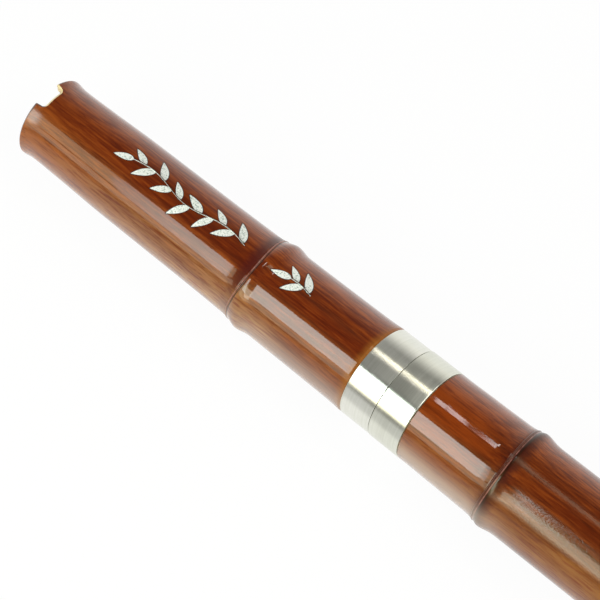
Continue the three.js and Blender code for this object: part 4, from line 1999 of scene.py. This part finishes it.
@dataclass
class Studio:
    """The camera, the lamps, the ground and the surroundings.

    Attributes:
        azimuth: where the camera stands round the flute, in degrees.
        elevation: how high it stands, in degrees.
        distance: how far it is from the joint's middle.
        shift_right: how far it is moved to its right.
        shift_up: how far it is moved up.
        roll: how far it is turned about its view, in degrees.
        lens: its focal length.
        sensor: its sensor's width.
        joint: the joint's middle, from the mouth.
        floor_reach: the ground's half width, in metres.
        floor_dim: how bright the ground on the camera's side looks to the metal, for the rest: painted shade
            that only reflections see.
        overhead: how bright the surroundings are overhead, for the horizon.
        near_side: how bright they are on the camera's side, for the far side.
        foot_glow: how much brighter they are past the foot.
        panels: the lamps: a soft box with a dim tail and spill beside it and a long dim box below it, all
            on the -Y side, strips overhead and beyond the joint, and a fill past the foot.
    """

    azimuth: float = 42.28
    elevation: float = 59.8
    distance: float = 681.5
    shift_right: float = -29.03
    shift_up: float = 26.65
    roll: float = -0.10
    lens: float = 144.0
    sensor: float = 36.0
    joint: float = 141.7
    floor_reach: float = 6.0
    floor_dim: float = 0.66
    overhead: float = 0.05
    near_side: float = 0.25
    foot_glow: float = 0.10
    panels: tuple[Panel, ...] = (
        Panel("soft_box", -0.474, -48.2, 0.9, (0.392, 0.50), 8.0, (0.88, 0.98, 0.98), 0.38),
        Panel("box_tail", -0.17, -60.6, 0.9, (0.24, 0.345), 5.4, (0.96, 1.0, 0.82)),
        Panel("box_spill", -0.80, -48.2, 0.9, (0.26, 0.42), 2.4, (1.0, 0.93, 0.68)),
        Panel("low_box", -0.35, -71.0, 0.9, (1.3, 0.222), 2.2, (1.0, 0.95, 0.74)),
        Panel("strip_lamp", -0.3475, 12.0, 0.8, (0.0315, 0.16), 9.2, (1.0, 0.95, 0.95)),
        Panel("ring_strip", -0.3795, 18.6, 0.8, (0.031, 0.088), 15.0, (1.0, 0.99, 0.97)),
        Panel("far_strip", 0.05, 15.4, 0.8, (0.63, 0.13), 2.3, (1.0, 0.90, 0.66)),
        Panel("fill_box", 0.8, 10.0, 0.95, (0.8, 1.4), 3.8, (1.0, 1.0, 0.97)),
    )

    def camera(self) -> None:
        """The camera at the photograph's viewing angle."""
        turn, rise = math.radians(self.azimuth), math.radians(self.elevation)
        back = Vector((math.sin(turn) * math.cos(rise), -math.cos(turn) * math.cos(rise), math.sin(rise)))
        right = Vector((math.cos(turn), math.sin(turn), 0.0))
        up = back.cross(right)
        centre = Vector((AXIS.x(self.joint), 0.0, AXIS.height))
        eye = centre + (back * self.distance + right * self.shift_right + up * self.shift_up) * MM
        tilt = Matrix.Rotation(math.radians(self.roll), 3, back)
        data = bpy.data.cameras.new("photo_camera")
        data.sensor_fit = "HORIZONTAL"
        data.sensor_width = self.sensor
        data.lens = self.lens
        data.clip_start = 0.01
        data.clip_end = 50.0
        camera = in_scene("photo_camera", data)
        basis = Matrix((tilt @ right, tilt @ up, back)).transposed()
        camera.matrix_world = Matrix.Translation(eye) @ basis.to_4x4()
        bpy.context.scene.camera = camera

    def world(self) -> None:
        """Dim surroundings overhead that brighten towards the horizon."""
        world = bpy.data.worlds.new("studio")
        world.use_nodes = True
        bpy.context.scene.world = world
        graph = NodeGraph(world.node_tree)
        x, y, z = graph.parts(graph.get("ShaderNodeTexCoord", output="Generated"))
        level = graph.window(graph.maths("ABSOLUTE", z), 0.0, 0.85, 1.0, self.overhead)
        level = graph.mul(level, graph.window(y, -0.9, 0.3, self.near_side, 1.0))
        strength = graph.maths("ADD", level, graph.window(x, -0.15, 0.2, 0.0, self.foot_glow))
        back = graph.get("ShaderNodeBackground", {"Color": (1.0, 0.985, 0.96, 1.0), "Strength": strength})
        graph.add("ShaderNodeOutputWorld", {"Surface": back})

    def ground(self) -> None:
        """A wide pale floor that the camera sees as white, with a faint shadow; reflections see it glowing
        white, with painted shade on the ground beyond the flute on the camera's side.
        """
        graph = ShaderGraph("pale_floor")
        path = graph.add("ShaderNodeLightPath").outputs
        seen = graph.maths("MAXIMUM", path["Is Camera Ray"], path["Is Glossy Ray"])
        seen = graph.maths("MAXIMUM", seen, path["Is Transmission Ray"])
        matt = graph.get("ShaderNodeBsdfDiffuse", {"Color": (0.9, 0.9, 0.895, 1.0)})
        _, across, _ = graph.parts(graph.place)
        # painted shade seen only in reflections: the ground beyond the flute on the camera's side glows
        # dimmer
        level = graph.window(across, -0.066, -0.042, self.floor_dim, 1.0)
        level = graph.maths("MAXIMUM", level, path["Is Camera Ray"])
        glow = graph.get("ShaderNodeEmission", {"Color": (1.0, 1.0, 1.0, 1.0), "Strength": level})
        mixed = graph.get("ShaderNodeMixShader", {0: graph.mul(seen, 0.95), 1: matt, 2: glow})
        graph.add("ShaderNodeOutputMaterial", {"Surface": mixed})
        reach = self.floor_reach
        corners = [(-reach, -reach, 0.0), (reach, -reach, 0.0), (reach, reach, 0.0), (-reach, reach, 0.0)]
        mesh = bpy.data.meshes.new("floor")
        mesh.from_pydata(corners, [], [(0, 1, 2, 3)])
        mesh.materials.append(graph.material)
        floor = in_scene("floor", mesh)

    def build(self) -> None:
        """Sets up the whole studio."""
        self.camera()
        for panel in self.panels:
            panel.build()
        self.world()
        self.ground()
        bpy.context.scene.view_settings.view_transform = "Standard"
        LOG.info("studio: %d lamps", len(self.panels))


NODE_RED = linear(74, 13, 11)
NODE_PURPLE = linear(62, 16, 13)
UPPER_LACQUER = LacqueredBamboo(
    "upper_lacquer",
    dark=linear(80, 20, 4),
    middle=linear(101, 33, 6),
    light=linear(130, 56, 15),
    thin=linear(146, 76, 26),
    thin_from=4.0,
    thin_to=52.0,
    stains=(
        Stain(87.0, 5.0, 1.6, 0.9, NODE_RED, 1.0, 0.35),
        Stain(131.2, 3.4, 2.0, 0.78, linear(146, 88, 34), 0.9),
    ),
    crest_glint_after=(88.05,),
    lips=(88.05,),
    groove_width=0.7,
    lit_flank_end=98.0,
)
LOWER_LACQUER = LacqueredBamboo(
    "lower_lacquer",
    dark=linear(70, 16, 2),
    middle=linear(91, 28, 4),
    light=linear(119, 50, 12),
    thin=linear(130, 51, 8),
    lit_flank=linear(138, 87, 37),
    thin_from=166.0,
    thin_to=182.0,
    thin_share=1.0,
    thin_cover=0.2,
    stains=(
        # painted shade: a dark line on the culm in the gap at the lower ring's edge
        Stain(152.3, 1.0, 0.7, 0.9, linear(46, 22, 12), 0.2),
        Stain(182.2, 3.4, 3.9, 0.92, NODE_PURPLE),
        Stain(288.4, 4.0, 3.2, 0.9, NODE_RED),
        Stain(394.6, 3.4, 3.8, 0.9, NODE_PURPLE),
        Stain(500.7, 3.6, 3.6, 0.9, NODE_RED),
    ),
    crest_glint_after=(287.7, 500.0),
    lips=(181.55, 287.7, 393.85, 500.0),
    peel_from=180.0,
    reflection_haze_share=0.62,
)


def main() -> None:
    """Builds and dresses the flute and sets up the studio."""
    logging.basicConfig(level=logging.INFO, format="%(message)s")
    shared = [BareBamboo().build(), BORE_LACQUER.build(), RIM_EDGE.build()]
    upper = UpperSection().build([UPPER_LACQUER.build(), *shared])
    lower = LowerSection().build([LOWER_LACQUER.build(), *shared])
    seat(upper, "upper_section", "lacquered_bamboo", "upper_bamboo")
    seat(lower, "lower_section", "lacquered_bamboo", "lower_bamboo")
    PlugJoint().build()
    LeafInlay().build(upper)
    Studio().build()
    bpy.context.view_layer.update()


if __name__ == "__main__":
    main()
